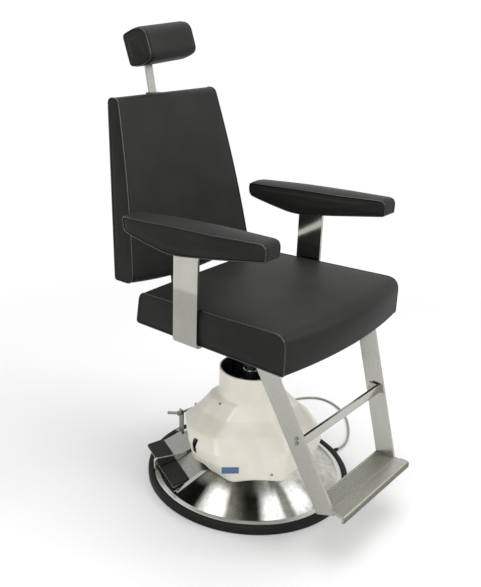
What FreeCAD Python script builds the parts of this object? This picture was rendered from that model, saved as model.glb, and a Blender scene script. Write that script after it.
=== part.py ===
"""A treatment-room barber chair on a round electro-hydraulic base.

Millimetres. +Z is up, the sitter faces -Y, and the sitter's right hand is on -X.
The origin is the point where the swivel axis meets the floor.
"""
import FreeCAD, Part
import math
import os
from FreeCAD import Vector as V

# ---- general fits and clearances ----
RUN = 0.05            # radial running clearance of a shaft in its bore
GAP = 0.5             # gap between soft parts and what passes through them
FLOOR_GAP = 0.5       # sheet metal and cord stay this far off the floor

# ---- base ----
BASE_R = 283.0        # outside of the rubber bumper
BUMPER_W = 15.0
BUMPER_H = 25.0
PLATE_T = 12.0        # cast base plate
BOSS_R = 56.0         # raised seat for the cylinder
BOSS_H = 12.0
COVER_T = 1.5         # spun cover
RIM_W = 13.0          # flat rim of the cover
RIM_Z = 21.5
COVER_TOP_R = 118.0   # where the cone ends, under the shroud
COVER_TOP_Z = 105.0

# ---- pedals: local +X points out of the base, local -Y towards the raising pedal ----
PEDAL_AZ = 153.5      # direction in which the pedals point, degrees from +X
PEDAL_PITCH = 100.0
PEDAL_W = 95.0
PEDAL_ARM_W = 56.0
PEDAL_T = 3.0
PEDAL_SHAFT_D = 95.0  # distance of the pedal shaft from the swivel axis
PEDAL_SHAFT_Z = 85.0
PEDAL_SHAFT_R = 5.0
PEDAL_TUBE_R = 9.0
PEDAL_KNEE = (150.0, 72.0)    # bends of the pedal plate, out from the axis and up
PEDAL_BEND = (199.0, 46.5)
PEDAL_TIP = (246.0, 34.0)
PAD_T = 6.0
RAISE_TILT = 6.0      # the raising pedal rests this much higher, degrees
RAIL_T = 2.5
DIVIDER_Z = 70.0      # level top edge of the divider
DIVIDER_TIP = 263.0
RAIL_LIP = 4.5        # how far the rails stand above the cover
FLANGE_W = 10.6
PEDAL_GAP = 5.4       # rail to pedal
BOSS_RISE = 8.0       # bearing plates above the shaft's centre
NOTCH_RISE = 11.0     # the shroud's arch above the shaft's centre
SWITCH_OFF = 8.0      # switch block to shaft
SWITCH_L = 26.0
SWITCH_W = 20.0
SWITCH_H = 30.0

# ---- swivel lock lever ----
LOCK_AZ = 80.0
LOCK_INSET = 20.5     # its shaft stands this far inside the cover's rim
LOCK_Y = 54.0         # place along its shaft
LOCK_Z = 107.0
LOCK_SHAFT_R = 4.0
LOCK_SPAN = 60.0
LOCK_REACH = 52.0
LOCK_DROP = 22.0
LOCK_ROD_R = 4.5

# ---- shroud: support distances of an eight-sided section, every 45 degrees from +X ----
SHROUD_LEVELS = (
    (82.0, (168, 180, 156, 156, 160, 160, 163, 188)),
    (118.0, (178, 196, 156, 166, 178, 154, 163, 206)),
    (150.0, (176, 190, 156, 174, 182, 148, 164, 199)),
    (184.0, (158, 168, 146, 179, 166, 124, 140, 174)),
    (218.0, (116, 132, 116, 138, 120, 93, 100, 142)),
    (264.0, (88, 92, 89, 104, 90, 87, 87, 97)),
)
SHROUD_T = 4.0
NECK_R = 86.0
NECK_Z = 338.0
SEAM_AZ = 165.0       # the two shroud halves meet on the plane at this azimuth
SEAM_GAP = 0.6
SLOT_W = 15.0
SLOT_Z = (126.0, 168.0)

# ---- lift ----
BARREL_R = 44.0
BARREL_BORE = 35.0
BARREL_TOP = 262.0
GLAND_T = 14.0
RAM_R = 19.0
RAM_BOTTOM = 70.0
RAM_TOP = 456.0
PISTON_T = 30.0
COLLAR_R = 20.5
COLLAR_Z = 320.0
COLLAR_T = 12.0
CROSSHEAD_Z = 384.0
CROSSHEAD_T = 12.0
CROSSHEAD_R = 68.0
CROSSHEAD_BOSS_R = 22.0
CROSSHEAD_BOSS_L = 38.0
ROD_R = 5.0           # two guide rods beside the ram
ROD_OFFSET = 60.0
ROD_BOTTOM = 70.0
BUSH_R = 9.0
MOTOR_R = 31.0
MOTOR_L = 92.0
MOTOR_X = 80.0
MOTOR_Y = 28.0
PUMP_X = 58.0
PUMP_H = 46.0
BEARING_R = 31.0
BEARING_T = 6.0

# ---- seat ----
SEAT_Z = 495.0        # underside of the upholstery
SEAT_REAR_Y = 178.0
SEAT_FRONT_Y = -275.0
SEAT_BOW = 24.0       # the front edge bows forward by this much
SEAT_HALF_REAR = 256.0
SEAT_HALF_FRONT = 260.0
SEAT_T_REAR = 86.0
SEAT_T_FRONT = 97.0
SEAT_CROWN = 8.0
BOARD_T = 15.0
BOARD_INSET = 38.0
SADDLE_HALF = 70.0
SADDLE_REAR = 190.0
HUB_R = 30.0
HUB_FLANGE_R = 60.0
HUB_BOLT_R = 4.0
HUB_BOLT_PCR = 48.0

# ---- arms ----
BAR_T = 8.0           # flat bar of the posts and the footrest
POST_X = 271.3        # outer face of the posts
POST_Y = 7.4
POST_W = 76.2
POST_BEND_R = 12.0
FOOT_END = 30.0
ARM_HALF = 39.0
ARM_X = 259.3         # middle of the arm pads
ARM_TOP = 790.0
ARM_FRONT_Y = -230.0
ARM_REAR_Y = 200.0
ARM_LOW_Y = 25.0      # lowest place of the pad, behind the post
ARM_DEPTH = 68.0
ARM_HALF_FRONT = 27.0 # the pads taper towards the front
ARM_TAPER_L = 140.0
CORE_Z = 752.0
CORE_T = 16.0
CORE_HALF = 22.0

# ---- footrest ----
LEG_W = 50.0
LEG_TOP = (211.2, -217.8, 380.0)      # a point on the rear outer edge of the left bar
LEG_FOOT = (155.7, -324.5, 106.0)     # the lower end of the same edge
STEP_Z = 141.0
STEP_REAR_Y = -314.0
STEP_FRONT_Y = -403.0
STEP_LIP = 21.0
STEP_T = 7.0
RIB_COUNT = 9
RIB_W = 2.6
RIB_H = 2.0
RIB_PITCH = 5.6
CROSSBAR_H = 25.4
CROSSBAR_T = 6.35
CROSSBAR_Z = 317.4
CROSSBAR_Y = -287.0
TAB_L = 22.0
SCREW_R = 2.5

# ---- back ----
HINGE_Y = 215.0
HINGE_Z = SEAT_Z - 17.0
PIN_R = 6.0
EYE_R = 13.0
ARM_BAR_HALF = 28.0
LUG_T = 8.0
BACK_LOW_Z = 590.0
BACK_TOP_Z = 1052.0
BACK_HALF_LOW = 248.0
BACK_HALF_TOP = 193.5
BACK_SAG = 22.0       # the bottom edge hangs lower in the middle
BACK_FRONT_Y = 205.0
BACK_T_LOW = 68.0
BACK_T_TOP = 37.0
BACK_LEAN = 103.0     # the front face leans back by this much over its height
BACK_CURVE = 8.0      # and hollows by this much half way up
BACK_BOARD_T = 12.0
BACK_BAR_TOP = 800.0

# ---- headrest ----
STALK_W = 25.4
STALK_T = 6.35
STALK_LEAN = 12.0
STALK_Y = 372.0       # at the height of STALK_Z
STALK_Z = 1051.0
STALK_LOW_Z = 862.0
GUIDE_LOW_Z = BACK_BAR_TOP + 84.0
GUIDE_TOP_Z = 1049.0
GUIDE_HALF = 18.0
GUIDE_WALL = 5.0
TILT_Z = 1160.0
TILT_PIN_R = 3.0
TILT_EYE_R = 8.0
REST_HALF = 93.0
REST_LEAN = 16.5
REST_DEPTH = 88.0
REST_H = 88.0
REST_NOSE = 8.0       # the pad's front corners are cut back by this much
REST_STANDOFF = 13.5
REST_ROLL = 4.0       # the pad sits this much out of level, its +X end high

# ---- cord ----
CORD_R = 3.5
CORD_Z = 4.0
RELIEF_AZ = -27.5
RELIEF_DIR = -8.0
RELIEF_OUT = 24.0
RELIEF_IN = 16.0
RELIEF_Z = 9.0
CORD_POINTS = (
    (303.0, -137.5, 6.0), (345.0, -127.0, 4.0), (387.0, -108.0, 4.0), (426.0, -84.0, 4.0),
    (467.0, -53.0, 4.0), (503.0, -9.0, 4.0), (523.0, 40.0, 4.0), (521.0, 83.0, 4.0),
    (495.0, 115.0, 4.0), (456.0, 139.0, 4.0), (415.0, 160.0, 4.0), (376.0, 186.0, 4.0),
    (348.0, 219.0, 4.0), (338.5, 255.0, 4.0), (338.5, 285.0, 4.0),
)
COIL_R = 40.0         # radius at the middle of the turns
COIL_BAND = 14.0
COIL_H = 21.0
PLUG_L = 46.0
PLUG_W = 26.0
PLUG_H = 18.0

OUT = "parts"
os.makedirs(OUT, exist_ok=True)


# ---------------------------------------------------------------- helpers
def box(x0, x1, y0, y1, z0, z1):
    return Part.makeBox(x1 - x0, y1 - y0, z1 - z0, V(x0, y0, z0))


def rod(radius, start, end):
    axis = end - start
    return Part.makeCylinder(radius, axis.Length, start, axis)


def pipe_z(outer, inner, z0, z1, x=0.0, y=0.0):
    body = Part.makeCylinder(outer, z1 - z0, V(x, y, z0))
    return body.cut(Part.makeCylinder(inner, z1 - z0 + 2, V(x, y, z0 - 1)))


def face(points):
    loop = [V(*p) for p in points]
    return Part.Face(Part.makePolygon(loop + loop[:1]))


def prism_x(yz, x0, x1):
    return face([(x0, y, z) for y, z in yz]).extrude(V(x1 - x0, 0, 0))


def prism_y(xz, y0, y1):
    return face([(x, y0, z) for x, z in xz]).extrude(V(0, y1 - y0, 0))


def prism_z(xy, z0, z1):
    return face([(x, y, z0) for x, y in xy]).extrude(V(0, 0, z1 - z0))


def revolve(rz):
    return face([(r, 0, z) for r, z in rz]).revolve(V(0, 0, 0), V(0, 0, 1), 360)


def turned(shape, degrees, base=V(0, 0, 0), axis=V(0, 0, 1)):
    copy = shape.copy()
    copy.rotate(base, axis, degrees)
    return copy


def mirrored(shape):
    return shape.mirror(V(0, 0, 0), V(1, 0, 0))


def group(solids):
    return Part.makeCompound(solids)


def rounded(shape, radius, keep):
    """Fillet the edges whose middle passes the test `keep`."""
    edges = [e for e in shape.Edges if keep(e.valueAt((e.FirstParameter + e.LastParameter) / 2))]
    return shape.makeFillet(radius, edges)


def save(name, shape):
    shape.exportStep(os.path.join(OUT, name + ".step"))


# ---------------------------------------------------------------- base
BUMPER_IN = BASE_R - BUMPER_W
SKIRT_R = BUMPER_IN - GAP
RIM_R = SKIRT_R - RIM_W
CONE_FALL = (COVER_TOP_Z - RIM_Z) / (RIM_R - COVER_TOP_R)


LOCK_D = RIM_R - LOCK_INSET


def cone_z(r):
    return RIM_Z + (RIM_R - r) * CONE_FALL


def base_plate():
    plate = Part.makeCylinder(SKIRT_R - COVER_T, PLATE_T, V(0, 0, 0))
    return plate.fuse(Part.makeCylinder(BOSS_R, BOSS_H, V(0, 0, PLATE_T))).cut(relief_hole())


def bumper_ring():
    soft = BUMPER_W / 3
    ring = revolve([(BUMPER_IN, 0), (BASE_R - soft, 0), (BASE_R, soft), (BASE_R, BUMPER_H - 2 * soft),
                    (BASE_R - soft, BUMPER_H - soft / 4), (BASE_R - 1.5 * soft, BUMPER_H),
                    (BUMPER_IN + soft / 2, BUMPER_H - soft / 2), (BUMPER_IN, BUMPER_H - 2 * soft)])
    return ring.cut(relief_hole())


def cover_outline(drop):
    return [(SKIRT_R - drop, FLOOR_GAP), (SKIRT_R - drop, RIM_Z - drop), (RIM_R, RIM_Z - drop),
            (COVER_TOP_R, COVER_TOP_Z - drop)]


def cover_envelope():
    """Everything below the outer surface of the cover."""
    outline = cover_outline(0) + [(0, COVER_TOP_Z), (0, FLOOR_GAP)]
    return revolve(outline)


def pedal_window():
    reach = box(PEDAL_SHAFT_D - 15, BASE_R, -PEDAL_PITCH - RAIL_Y, RAIL_Y, PLATE_T, COVER_TOP_Z + 20)
    return turned(reach, PEDAL_AZ).common(Part.makeCylinder(RIM_R - 2, 300))


def base_cover():
    shell = revolve(cover_outline(0) + cover_outline(COVER_T)[::-1])
    return shell.cut(pedal_window()).cut(relief_hole())


# ---------------------------------------------------------------- pedals
RAIL_Y = PEDAL_W / 2 + PEDAL_GAP + RAIL_T     # outer face of a rail, from the pedal's middle
DIVIDER_Y = PEDAL_PITCH / 2


def line_top(y, d0, d1):
    """Two points of a rail's top edge that stands above the cone at distance y from the axis."""
    return [(d, cone_z(math.hypot(d, y)) + RAIL_LIP) for d in (d0, d1)]


def window_reach(y):
    return math.sqrt((RIM_R - 3) ** 2 - y ** 2)


def rail(y_in, side, start, bearing):
    """A web beside the pedal with a flange that lies over the cover's edge."""
    y_out = y_in + side * RAIL_T
    end = window_reach(y_out)
    top = line_top(y_out, start, end)
    web = [(end, PLATE_T)] + top[::-1]
    if bearing:
        boss_top = PEDAL_SHAFT_Z + BOSS_RISE
        web += [(PEDAL_SHAFT_D + 30, top[0][1]), (PEDAL_SHAFT_D + 12, boss_top), (PEDAL_SHAFT_D - 10, boss_top),
                (PEDAL_SHAFT_D - 10, PLATE_T)]
    else:
        web += [(start, PLATE_T)]
    low, high = sorted((y_in, y_out))
    solid = prism_y(web, low, high)
    if bearing:
        solid = solid.cut(shaft_hole(PEDAL_SHAFT_R))
    low, high = sorted((y_out, y_out + side * FLANGE_W))
    flange = prism_y([(start, PLATE_T), (end - 4, PLATE_T)] + line_top(y_out, start, end - 4)[::-1], low, high)
    return turned(solid.fuse(flange.cut(cover_envelope())), PEDAL_AZ)


def shaft_hole(radius):
    return rod(radius, V(PEDAL_SHAFT_D, -BASE_R, PEDAL_SHAFT_Z), V(PEDAL_SHAFT_D, BASE_R, PEDAL_SHAFT_Z))


def pedal_rails():
    """The two side rails and the short plate that bears the far end of the shaft."""
    front = rail(RAIL_Y - RAIL_T, 1, PEDAL_KNEE[0], True)
    rear = rail(-PEDAL_PITCH - RAIL_Y + RAIL_T, -1, PEDAL_SHAFT_D + 18, False)
    return group([front, rear, bearing_plate()])


BEARING_Y = PEDAL_PITCH + PEDAL_ARM_W / 2 + 2      # inner face of the shaft's far bearing plate


def bearing_plate():
    plate = box(PEDAL_SHAFT_D - 10, PEDAL_SHAFT_D + 12, -BEARING_Y - RAIL_T, -BEARING_Y,
                PLATE_T, PEDAL_SHAFT_Z + BOSS_RISE)
    return turned(plate.cut(shaft_hole(PEDAL_SHAFT_R)), PEDAL_AZ)


def pedal_divider():
    stop = window_reach(DIVIDER_Y) - 1
    half = RAIL_T / 2
    back = PEDAL_SHAFT_D - 10
    plate = prism_y([(back, PLATE_T), (stop, PLATE_T), (stop, RIM_Z + GAP), (DIVIDER_TIP, RIM_Z + GAP),
                     (DIVIDER_TIP, DIVIDER_Z), (PEDAL_KNEE[0] - 10, DIVIDER_Z),
                     (PEDAL_SHAFT_D + 12, PEDAL_SHAFT_Z + BOSS_RISE), (back, PEDAL_SHAFT_Z + BOSS_RISE)],
                    -DIVIDER_Y - half, -DIVIDER_Y + half)
    return turned(plate.cut(shaft_hole(PEDAL_SHAFT_R)), PEDAL_AZ).cut(base_cover())


def pedal_shaft():
    return turned(rod(PEDAL_SHAFT_R, V(PEDAL_SHAFT_D, -BEARING_Y - RAIL_T - 2, PEDAL_SHAFT_Z),
                      V(PEDAL_SHAFT_D, RAIL_Y + 2, PEDAL_SHAFT_Z)), PEDAL_AZ)


def pedal_plate(y):
    """A bent plate welded to a tube that turns on the shaft; y is its middle."""
    low = [(PEDAL_SHAFT_D, PEDAL_SHAFT_Z - PEDAL_T), PEDAL_KNEE, PEDAL_BEND, PEDAL_TIP]
    top = [(x, z + PEDAL_T) for x, z in low]
    sheet = low + top[::-1]
    wide = prism_y(sheet, y - PEDAL_W / 2, y + PEDAL_W / 2)
    wide = wide.common(box(PEDAL_KNEE[0] - 4, BASE_R, y - PEDAL_W, y + PEDAL_W, 0, 200))
    arm = prism_y(sheet, y - PEDAL_ARM_W / 2, y + PEDAL_ARM_W / 2)
    tube = rod(PEDAL_TUBE_R, V(PEDAL_SHAFT_D, y - PEDAL_ARM_W / 2, PEDAL_SHAFT_Z),
               V(PEDAL_SHAFT_D, y + PEDAL_ARM_W / 2, PEDAL_SHAFT_Z))
    return wide.fuse(arm).fuse(tube).cut(shaft_hole(PEDAL_SHAFT_R + RUN)).removeSplitter()


def pedal_pad(y):
    low = [(x, z + PEDAL_T) for x, z in (PEDAL_BEND, PEDAL_TIP)]
    top = [(x, z + PAD_T) for x, z in low]
    return prism_y(low + top[::-1], y - PEDAL_W / 2, y + PEDAL_W / 2)


def placed_pedal(shape, tilt):
    lifted = turned(shape, -tilt, V(PEDAL_SHAFT_D, 0, PEDAL_SHAFT_Z), V(0, 1, 0))
    return turned(lifted, PEDAL_AZ)


def pedal_springs():
    """Close-wound torsion springs on the shaft, one beside each pedal."""
    springs = []
    for y in (0.0, -PEDAL_PITCH):
        start = y + PEDAL_ARM_W / 2 + 1
        body = rod(PEDAL_TUBE_R - 1, V(PEDAL_SHAFT_D, start, PEDAL_SHAFT_Z), V(PEDAL_SHAFT_D, start + 14, PEDAL_SHAFT_Z))
        springs.append(turned(body.cut(shaft_hole(PEDAL_SHAFT_R)), PEDAL_AZ))
    return group(springs)


def pedal_switches():
    """The motor switch and the lowering valve's plunger block, under the pedal arms."""
    blocks = []
    near = PEDAL_SHAFT_D + SWITCH_OFF
    top = PLATE_T + SWITCH_H
    for y in (0.0, -PEDAL_PITCH):
        body = box(near, near + SWITCH_L, y - SWITCH_W / 2, y + SWITCH_W / 2, PLATE_T, top)
        stem = Part.makeCylinder(SWITCH_W / 6, SWITCH_W / 3, V(near + SWITCH_L / 2, y, top))
        blocks.append(turned(body.fuse(stem), PEDAL_AZ))
    return group(blocks)


# ---------------------------------------------------------------- swivel lock
def lock_point(x, y, z):
    p = turned(Part.Vertex(x, y, z), LOCK_AZ).Point
    return V(p)


def lock_bracket():
    posts = []
    for y in (LOCK_Y, LOCK_Y - LOCK_SPAN):
        strap = box(LOCK_D - 9, LOCK_D + 9, y - 2, y + 2, RIM_Z, LOCK_Z + 9)
        foot = box(LOCK_D - 12, LOCK_D + 12, y - 2, y + 12, RIM_Z, cone_z(LOCK_D) + 12)
        post = turned(strap.fuse(foot), LOCK_AZ).cut(cover_envelope())
        posts.append(post.cut(rod(LOCK_SHAFT_R + RUN, lock_point(LOCK_D, y - 20, LOCK_Z),
                                  lock_point(LOCK_D, y + 20, LOCK_Z))))
    return group(posts)


def lock_lever():
    shaft = rod(LOCK_SHAFT_R, lock_point(LOCK_D, LOCK_Y - LOCK_SPAN - 6, LOCK_Z), lock_point(LOCK_D, LOCK_Y + 16, LOCK_Z))
    hub = rod(LOCK_SHAFT_R + 4, lock_point(LOCK_D, LOCK_Y + 4, LOCK_Z), lock_point(LOCK_D, LOCK_Y + 14, LOCK_Z))
    root = lock_point(LOCK_D, LOCK_Y + 9, LOCK_Z)
    tip = lock_point(LOCK_D + LOCK_REACH, LOCK_Y + 9, LOCK_Z - LOCK_DROP)
    arm = rod(LOCK_ROD_R, root, tip)
    return shaft.fuse([hub, arm, Part.makeSphere(LOCK_ROD_R + 0.8, tip)])


# ---------------------------------------------------------------- shroud
def octagon(supports, z, inset):
    """A closed wire whose eight sides lie at the given distances from the axis."""
    corners = []
    for i in range(8):
        a, b = math.radians(45 * i), math.radians(45 * (i + 1))
        p, q = supports[i] - inset, supports[(i + 1) % 8] - inset
        det = math.sin(b - a)
        corners.append(V((p * math.sin(b) - q * math.sin(a)) / det, (q * math.cos(a) - p * math.cos(b)) / det, z))
    return Part.makePolygon(corners + corners[:1])


def shroud_body(inset):
    z_shift = -inset
    wires = [octagon(s, z, inset) for z, s in SHROUD_LEVELS[:-1]]
    z_top, top = SHROUD_LEVELS[-1]
    wires.append(octagon(top, z_top + z_shift, inset))
    body = Part.makeLoft(wires, True, True)
    neck = Part.makeCylinder(NECK_R - inset, NECK_Z - SHROUD_LEVELS[-2][0] + inset, V(0, 0, SHROUD_LEVELS[-2][0]))
    return body.fuse(neck)


def shroud_shell():
    foot = Part.makeLoft([octagon(SHROUD_LEVELS[0][1], SHROUD_LEVELS[0][0] - 5, SHROUD_T),
                          octagon(SHROUD_LEVELS[0][1], SHROUD_LEVELS[0][0], SHROUD_T)], True, True)
    return shroud_body(0).cut(shroud_body(SHROUD_T)).cut(foot)


def above_cover():
    """The cover and the clearance over it."""
    cover = cover_envelope()
    cover.translate(V(0, 0, 2 * GAP))
    return cover


def pedal_notch():
    """The arch in the shroud's lower edge through which the pedals reach out."""
    side = RAIL_Y + FLANGE_W + 2 * GAP
    arch = box(PEDAL_SHAFT_D - SWITCH_L, BASE_R, -PEDAL_PITCH - side, side, PLATE_T, PEDAL_SHAFT_Z + NOTCH_RISE)
    return turned(arch, PEDAL_AZ)


def slot_cutter():
    slot = box(NECK_R, BASE_R, -SLOT_W / 2, SLOT_W / 2, *SLOT_Z)
    return turned(slot, SEAM_AZ)


def shroud_half(side):
    """side +1 is the half towards the sitter's front right, -1 the other one."""
    far = 2 * BASE_R
    keep = box(-far, far, SEAM_GAP / 2, far, 0, far)
    if side < 0:
        keep = box(-far, far, -far, -SEAM_GAP / 2, 0, far)
    openings = [slot_cutter(), pedal_notch(), above_cover(), shroud_screws()]
    return shroud_shell().cut(openings).common(turned(keep, SEAM_AZ))


# facet azimuth, distance along the facet, height
SHROUD_SCREWS = ((180.0, -27.0, 251.0), (225.0, 42.0, 96.0), (0.0, 27.0, 251.0), (45.0, -42.0, 96.0))


def support_at(azimuth, z):
    """Distance of a facet from the axis at height z."""
    i = int(round(azimuth / 45.0)) % 8
    for (z0, s0), (z1, s1) in zip(SHROUD_LEVELS, SHROUD_LEVELS[1:]):
        if z0 <= z <= z1:
            return s0[i] + (s1[i] - s0[i]) * (z - z0) / (z1 - z0)
    return NECK_R


def shroud_screw(azimuth, along, z):
    reach = support_at(azimuth, z)
    return turned(rod(3.0, V(reach - SHROUD_T - 4, along, z), V(reach + 2, along, z)), azimuth)


def shroud_screws():
    return group([shroud_screw(*place) for place in SHROUD_SCREWS])


BADGE_AZ = 225.0
BADGE_ALONG = -69.0
BADGE_Z = 110.0
BADGE_W = 46.0
BADGE_H = 17.0
BADGE_T = 1.2


def badge_plate():
    """A bare plate on the facet that faces the sitter's front right."""
    z0, z1 = BADGE_Z - BADGE_H / 2, BADGE_Z + BADGE_H / 2
    r0, r1 = support_at(BADGE_AZ, z0), support_at(BADGE_AZ, z1)
    plate = prism_y([(r0, z0), (r0 + BADGE_T, z0), (r1 + BADGE_T, z1), (r1, z1)],
                    BADGE_ALONG - BADGE_W / 2, BADGE_ALONG + BADGE_W / 2)
    return turned(plate, BADGE_AZ).cut(shroud_body(0))


# ---------------------------------------------------------------- power unit and lift
BARREL_Z = PLATE_T + BOSS_H


def cylinder_barrel():
    return pipe_z(BARREL_R, BARREL_BORE, BARREL_Z, BARREL_TOP)


def cylinder_gland():
    return pipe_z(BARREL_R, RAM_R + RUN, BARREL_TOP, BARREL_TOP + GLAND_T)


def rod_places():
    return [V(0, ROD_OFFSET, 0), V(0, -ROD_OFFSET, 0)]


BRIDGE_Z = BARREL_TOP - 26.0
BRIDGE_T = 14.0


def guide_bridge():
    """A cross plate clamped round the barrel, with a bronze-lined eye for each guide rod."""
    bar = box(-16, 16, -ROD_OFFSET - 14, ROD_OFFSET + 14, BRIDGE_Z, BRIDGE_Z + BRIDGE_T)
    bar = bar.fuse(Part.makeCylinder(BARREL_R + 6, BRIDGE_T, V(0, 0, BRIDGE_Z)))
    bar = bar.cut(Part.makeCylinder(BARREL_R, BRIDGE_T + 2, V(0, 0, BRIDGE_Z - 1)))
    for place in rod_places():
        bar = bar.cut(Part.makeCylinder(BUSH_R, BRIDGE_T + 2, place + V(0, 0, BRIDGE_Z - 1)))
    return bar


def guide_bushes():
    return group([pipe_z(BUSH_R, ROD_R + RUN, BRIDGE_Z, BRIDGE_Z + BRIDGE_T, p.x, p.y) for p in rod_places()])


def ram():
    shaft = Part.makeCylinder(RAM_R, RAM_TOP - RAM_BOTTOM, V(0, 0, RAM_BOTTOM))
    return shaft.fuse(Part.makeCylinder(COLLAR_R, COLLAR_T, V(0, 0, COLLAR_Z)))


def piston():
    disc = Part.makeCylinder(BARREL_BORE - RUN, PISTON_T, V(0, 0, RAM_BOTTOM))
    return disc.cut(Part.makeCylinder(RAM_R, PISTON_T + 2, V(0, 0, RAM_BOTTOM - 1)))


def crosshead():
    plate = Part.makeCylinder(CROSSHEAD_R, CROSSHEAD_T, V(0, 0, CROSSHEAD_Z))
    plate = plate.common(box(-BARREL_R, BARREL_R, -BASE_R, BASE_R, 0, RAM_TOP))
    boss = Part.makeCylinder(CROSSHEAD_BOSS_R, CROSSHEAD_BOSS_L, V(0, 0, CROSSHEAD_Z - CROSSHEAD_BOSS_L))
    return plate.fuse(boss).cut(Part.makeCylinder(RAM_R, RAM_TOP, V(0, 0, 0)))


def guide_rods():
    return group([Part.makeCylinder(ROD_R, CROSSHEAD_Z - ROD_BOTTOM, p + V(0, 0, ROD_BOTTOM)) for p in rod_places()])


HUB_Z = CROSSHEAD_Z + CROSSHEAD_T + BEARING_T


def thrust_bearing():
    return pipe_z(BEARING_R, RAM_R, CROSSHEAD_Z + CROSSHEAD_T, HUB_Z - RUN)


def pump_motor():
    foot = V(MOTOR_X, MOTOR_Y, PLATE_T + PUMP_H)
    cap = Part.makeCylinder(MOTOR_R - 9, 8, foot + V(0, 0, MOTOR_L))
    return Part.makeCylinder(MOTOR_R, MOTOR_L, foot).fuse(cap)


def pump_body():
    return box(PUMP_X, PUMP_X + 54, 4, 56, PLATE_T, PLATE_T + PUMP_H)


def oil_reservoir():
    return box(50, 108, -94, -36, PLATE_T, PLATE_T + 66)


def pressure_pipe():
    """A short steel pipe from the pump to the foot of the barrel."""
    y, z = 15.0, PLATE_T + 28
    pipe = rod(4.0, V(BARREL_R - 6, y, z), V(PUMP_X, y, z)).cut(rod(2.0, V(0, y, z), V(PUMP_X, y, z)))
    return pipe.cut(Part.makeCylinder(BARREL_R, BARREL_TOP))


# ---------------------------------------------------------------- seat
FOOT_LOW = SEAT_Z - BAR_T                 # the posts' feet lie under the upholstery
SADDLE_LOW = FOOT_LOW - BAR_T
HUB_TOP = SADDLE_LOW


def seat_plan():
    """Outline seen from above, with a bowed front edge."""
    rear_r, rear_l = V(-SEAT_HALF_REAR, SEAT_REAR_Y, 0), V(SEAT_HALF_REAR, SEAT_REAR_Y, 0)
    front_r, front_l = V(-SEAT_HALF_FRONT, SEAT_FRONT_Y, 0), V(SEAT_HALF_FRONT, SEAT_FRONT_Y, 0)
    bow = Part.Arc(front_l, V(0, SEAT_FRONT_Y - SEAT_BOW, 0), front_r).toShape()
    sides = [Part.makeLine(front_r, rear_r), Part.makeLine(rear_r, rear_l), Part.makeLine(rear_l, front_l)]
    return Part.Face(Part.Wire([bow] + sides))


def seat_side():
    """Outline seen from the side, with a crowned top."""
    front_y = SEAT_FRONT_Y - SEAT_BOW - 1
    a, b = V(0, SEAT_REAR_Y + 1, SEAT_Z), V(0, SEAT_REAR_Y + 1, SEAT_Z + SEAT_T_REAR)
    c, d = V(0, front_y, SEAT_Z + SEAT_T_FRONT), V(0, front_y, SEAT_Z)
    top = Part.Arc(b, (b + c) * 0.5 + V(0, 0, SEAT_CROWN), c).toShape()
    return Part.Face(Part.Wire([Part.makeLine(a, b), top, Part.makeLine(c, d), Part.makeLine(d, a)]))


def seat_board():
    return box(-SEAT_HALF_REAR + BOARD_INSET, SEAT_HALF_REAR - BOARD_INSET, SEAT_FRONT_Y + BOARD_INSET,
               SEAT_REAR_Y - BOARD_INSET, SEAT_Z, SEAT_Z + BOARD_T)


def seat_cushion():
    plan = seat_plan().extrude(V(0, 0, 2 * SEAT_Z))
    wide = 2 * SEAT_HALF_FRONT
    side = seat_side()
    side.translate(V(-wide / 2, 0, 0))
    block = side.extrude(V(wide, 0, 0)).common(plan)
    block = rounded(block, 10, lambda p: p.z > SEAT_Z + 10 and abs(p.z - (SEAT_Z + SEAT_T_FRONT / 2)) > 25)
    return block.cut(seat_board())


def swivel_hub():
    tube = Part.makeCylinder(HUB_R, HUB_TOP - HUB_Z, V(0, 0, HUB_Z))
    flange = Part.makeCylinder(HUB_FLANGE_R, BAR_T, V(0, 0, HUB_TOP - BAR_T))
    hub = tube.fuse(flange).cut(Part.makeCylinder(RAM_R + RUN, RAM_TOP - HUB_Z + 3, V(0, 0, HUB_Z - 1)))
    return with_bolt_holes(hub)


def hub_bolt_places():
    return [V(HUB_BOLT_PCR * math.cos(a), HUB_BOLT_PCR * math.sin(a), 0) for a in
            [math.radians(45 + 90 * i) for i in range(4)]]


def hub_bolts():
    head_z = HUB_TOP - BAR_T
    bolts = []
    for p in hub_bolt_places():
        head = Part.makeCylinder(1.6 * HUB_BOLT_R, HUB_BOLT_R, p + V(0, 0, head_z - HUB_BOLT_R))
        bolts.append(head.fuse(Part.makeCylinder(HUB_BOLT_R, 2 * BAR_T, p + V(0, 0, head_z))))
    return group(bolts)


def with_bolt_holes(shape):
    for p in hub_bolt_places():
        shape = shape.cut(Part.makeCylinder(HUB_BOLT_R, 4 * BAR_T, p + V(0, 0, HUB_TOP - 2 * BAR_T)))
    return shape


def saddle_plate():
    """The plate on the hub that carries everything above it, with the two welded recline lugs."""
    front = leg_y(FOOT_LOW) - LEG_W / leg_cos()
    plate = box(-SADDLE_HALF, SADDLE_HALF, front, SADDLE_REAR, SADDLE_LOW, FOOT_LOW)
    return with_bolt_holes(plate.fuse(recline_lugs()))


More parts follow.
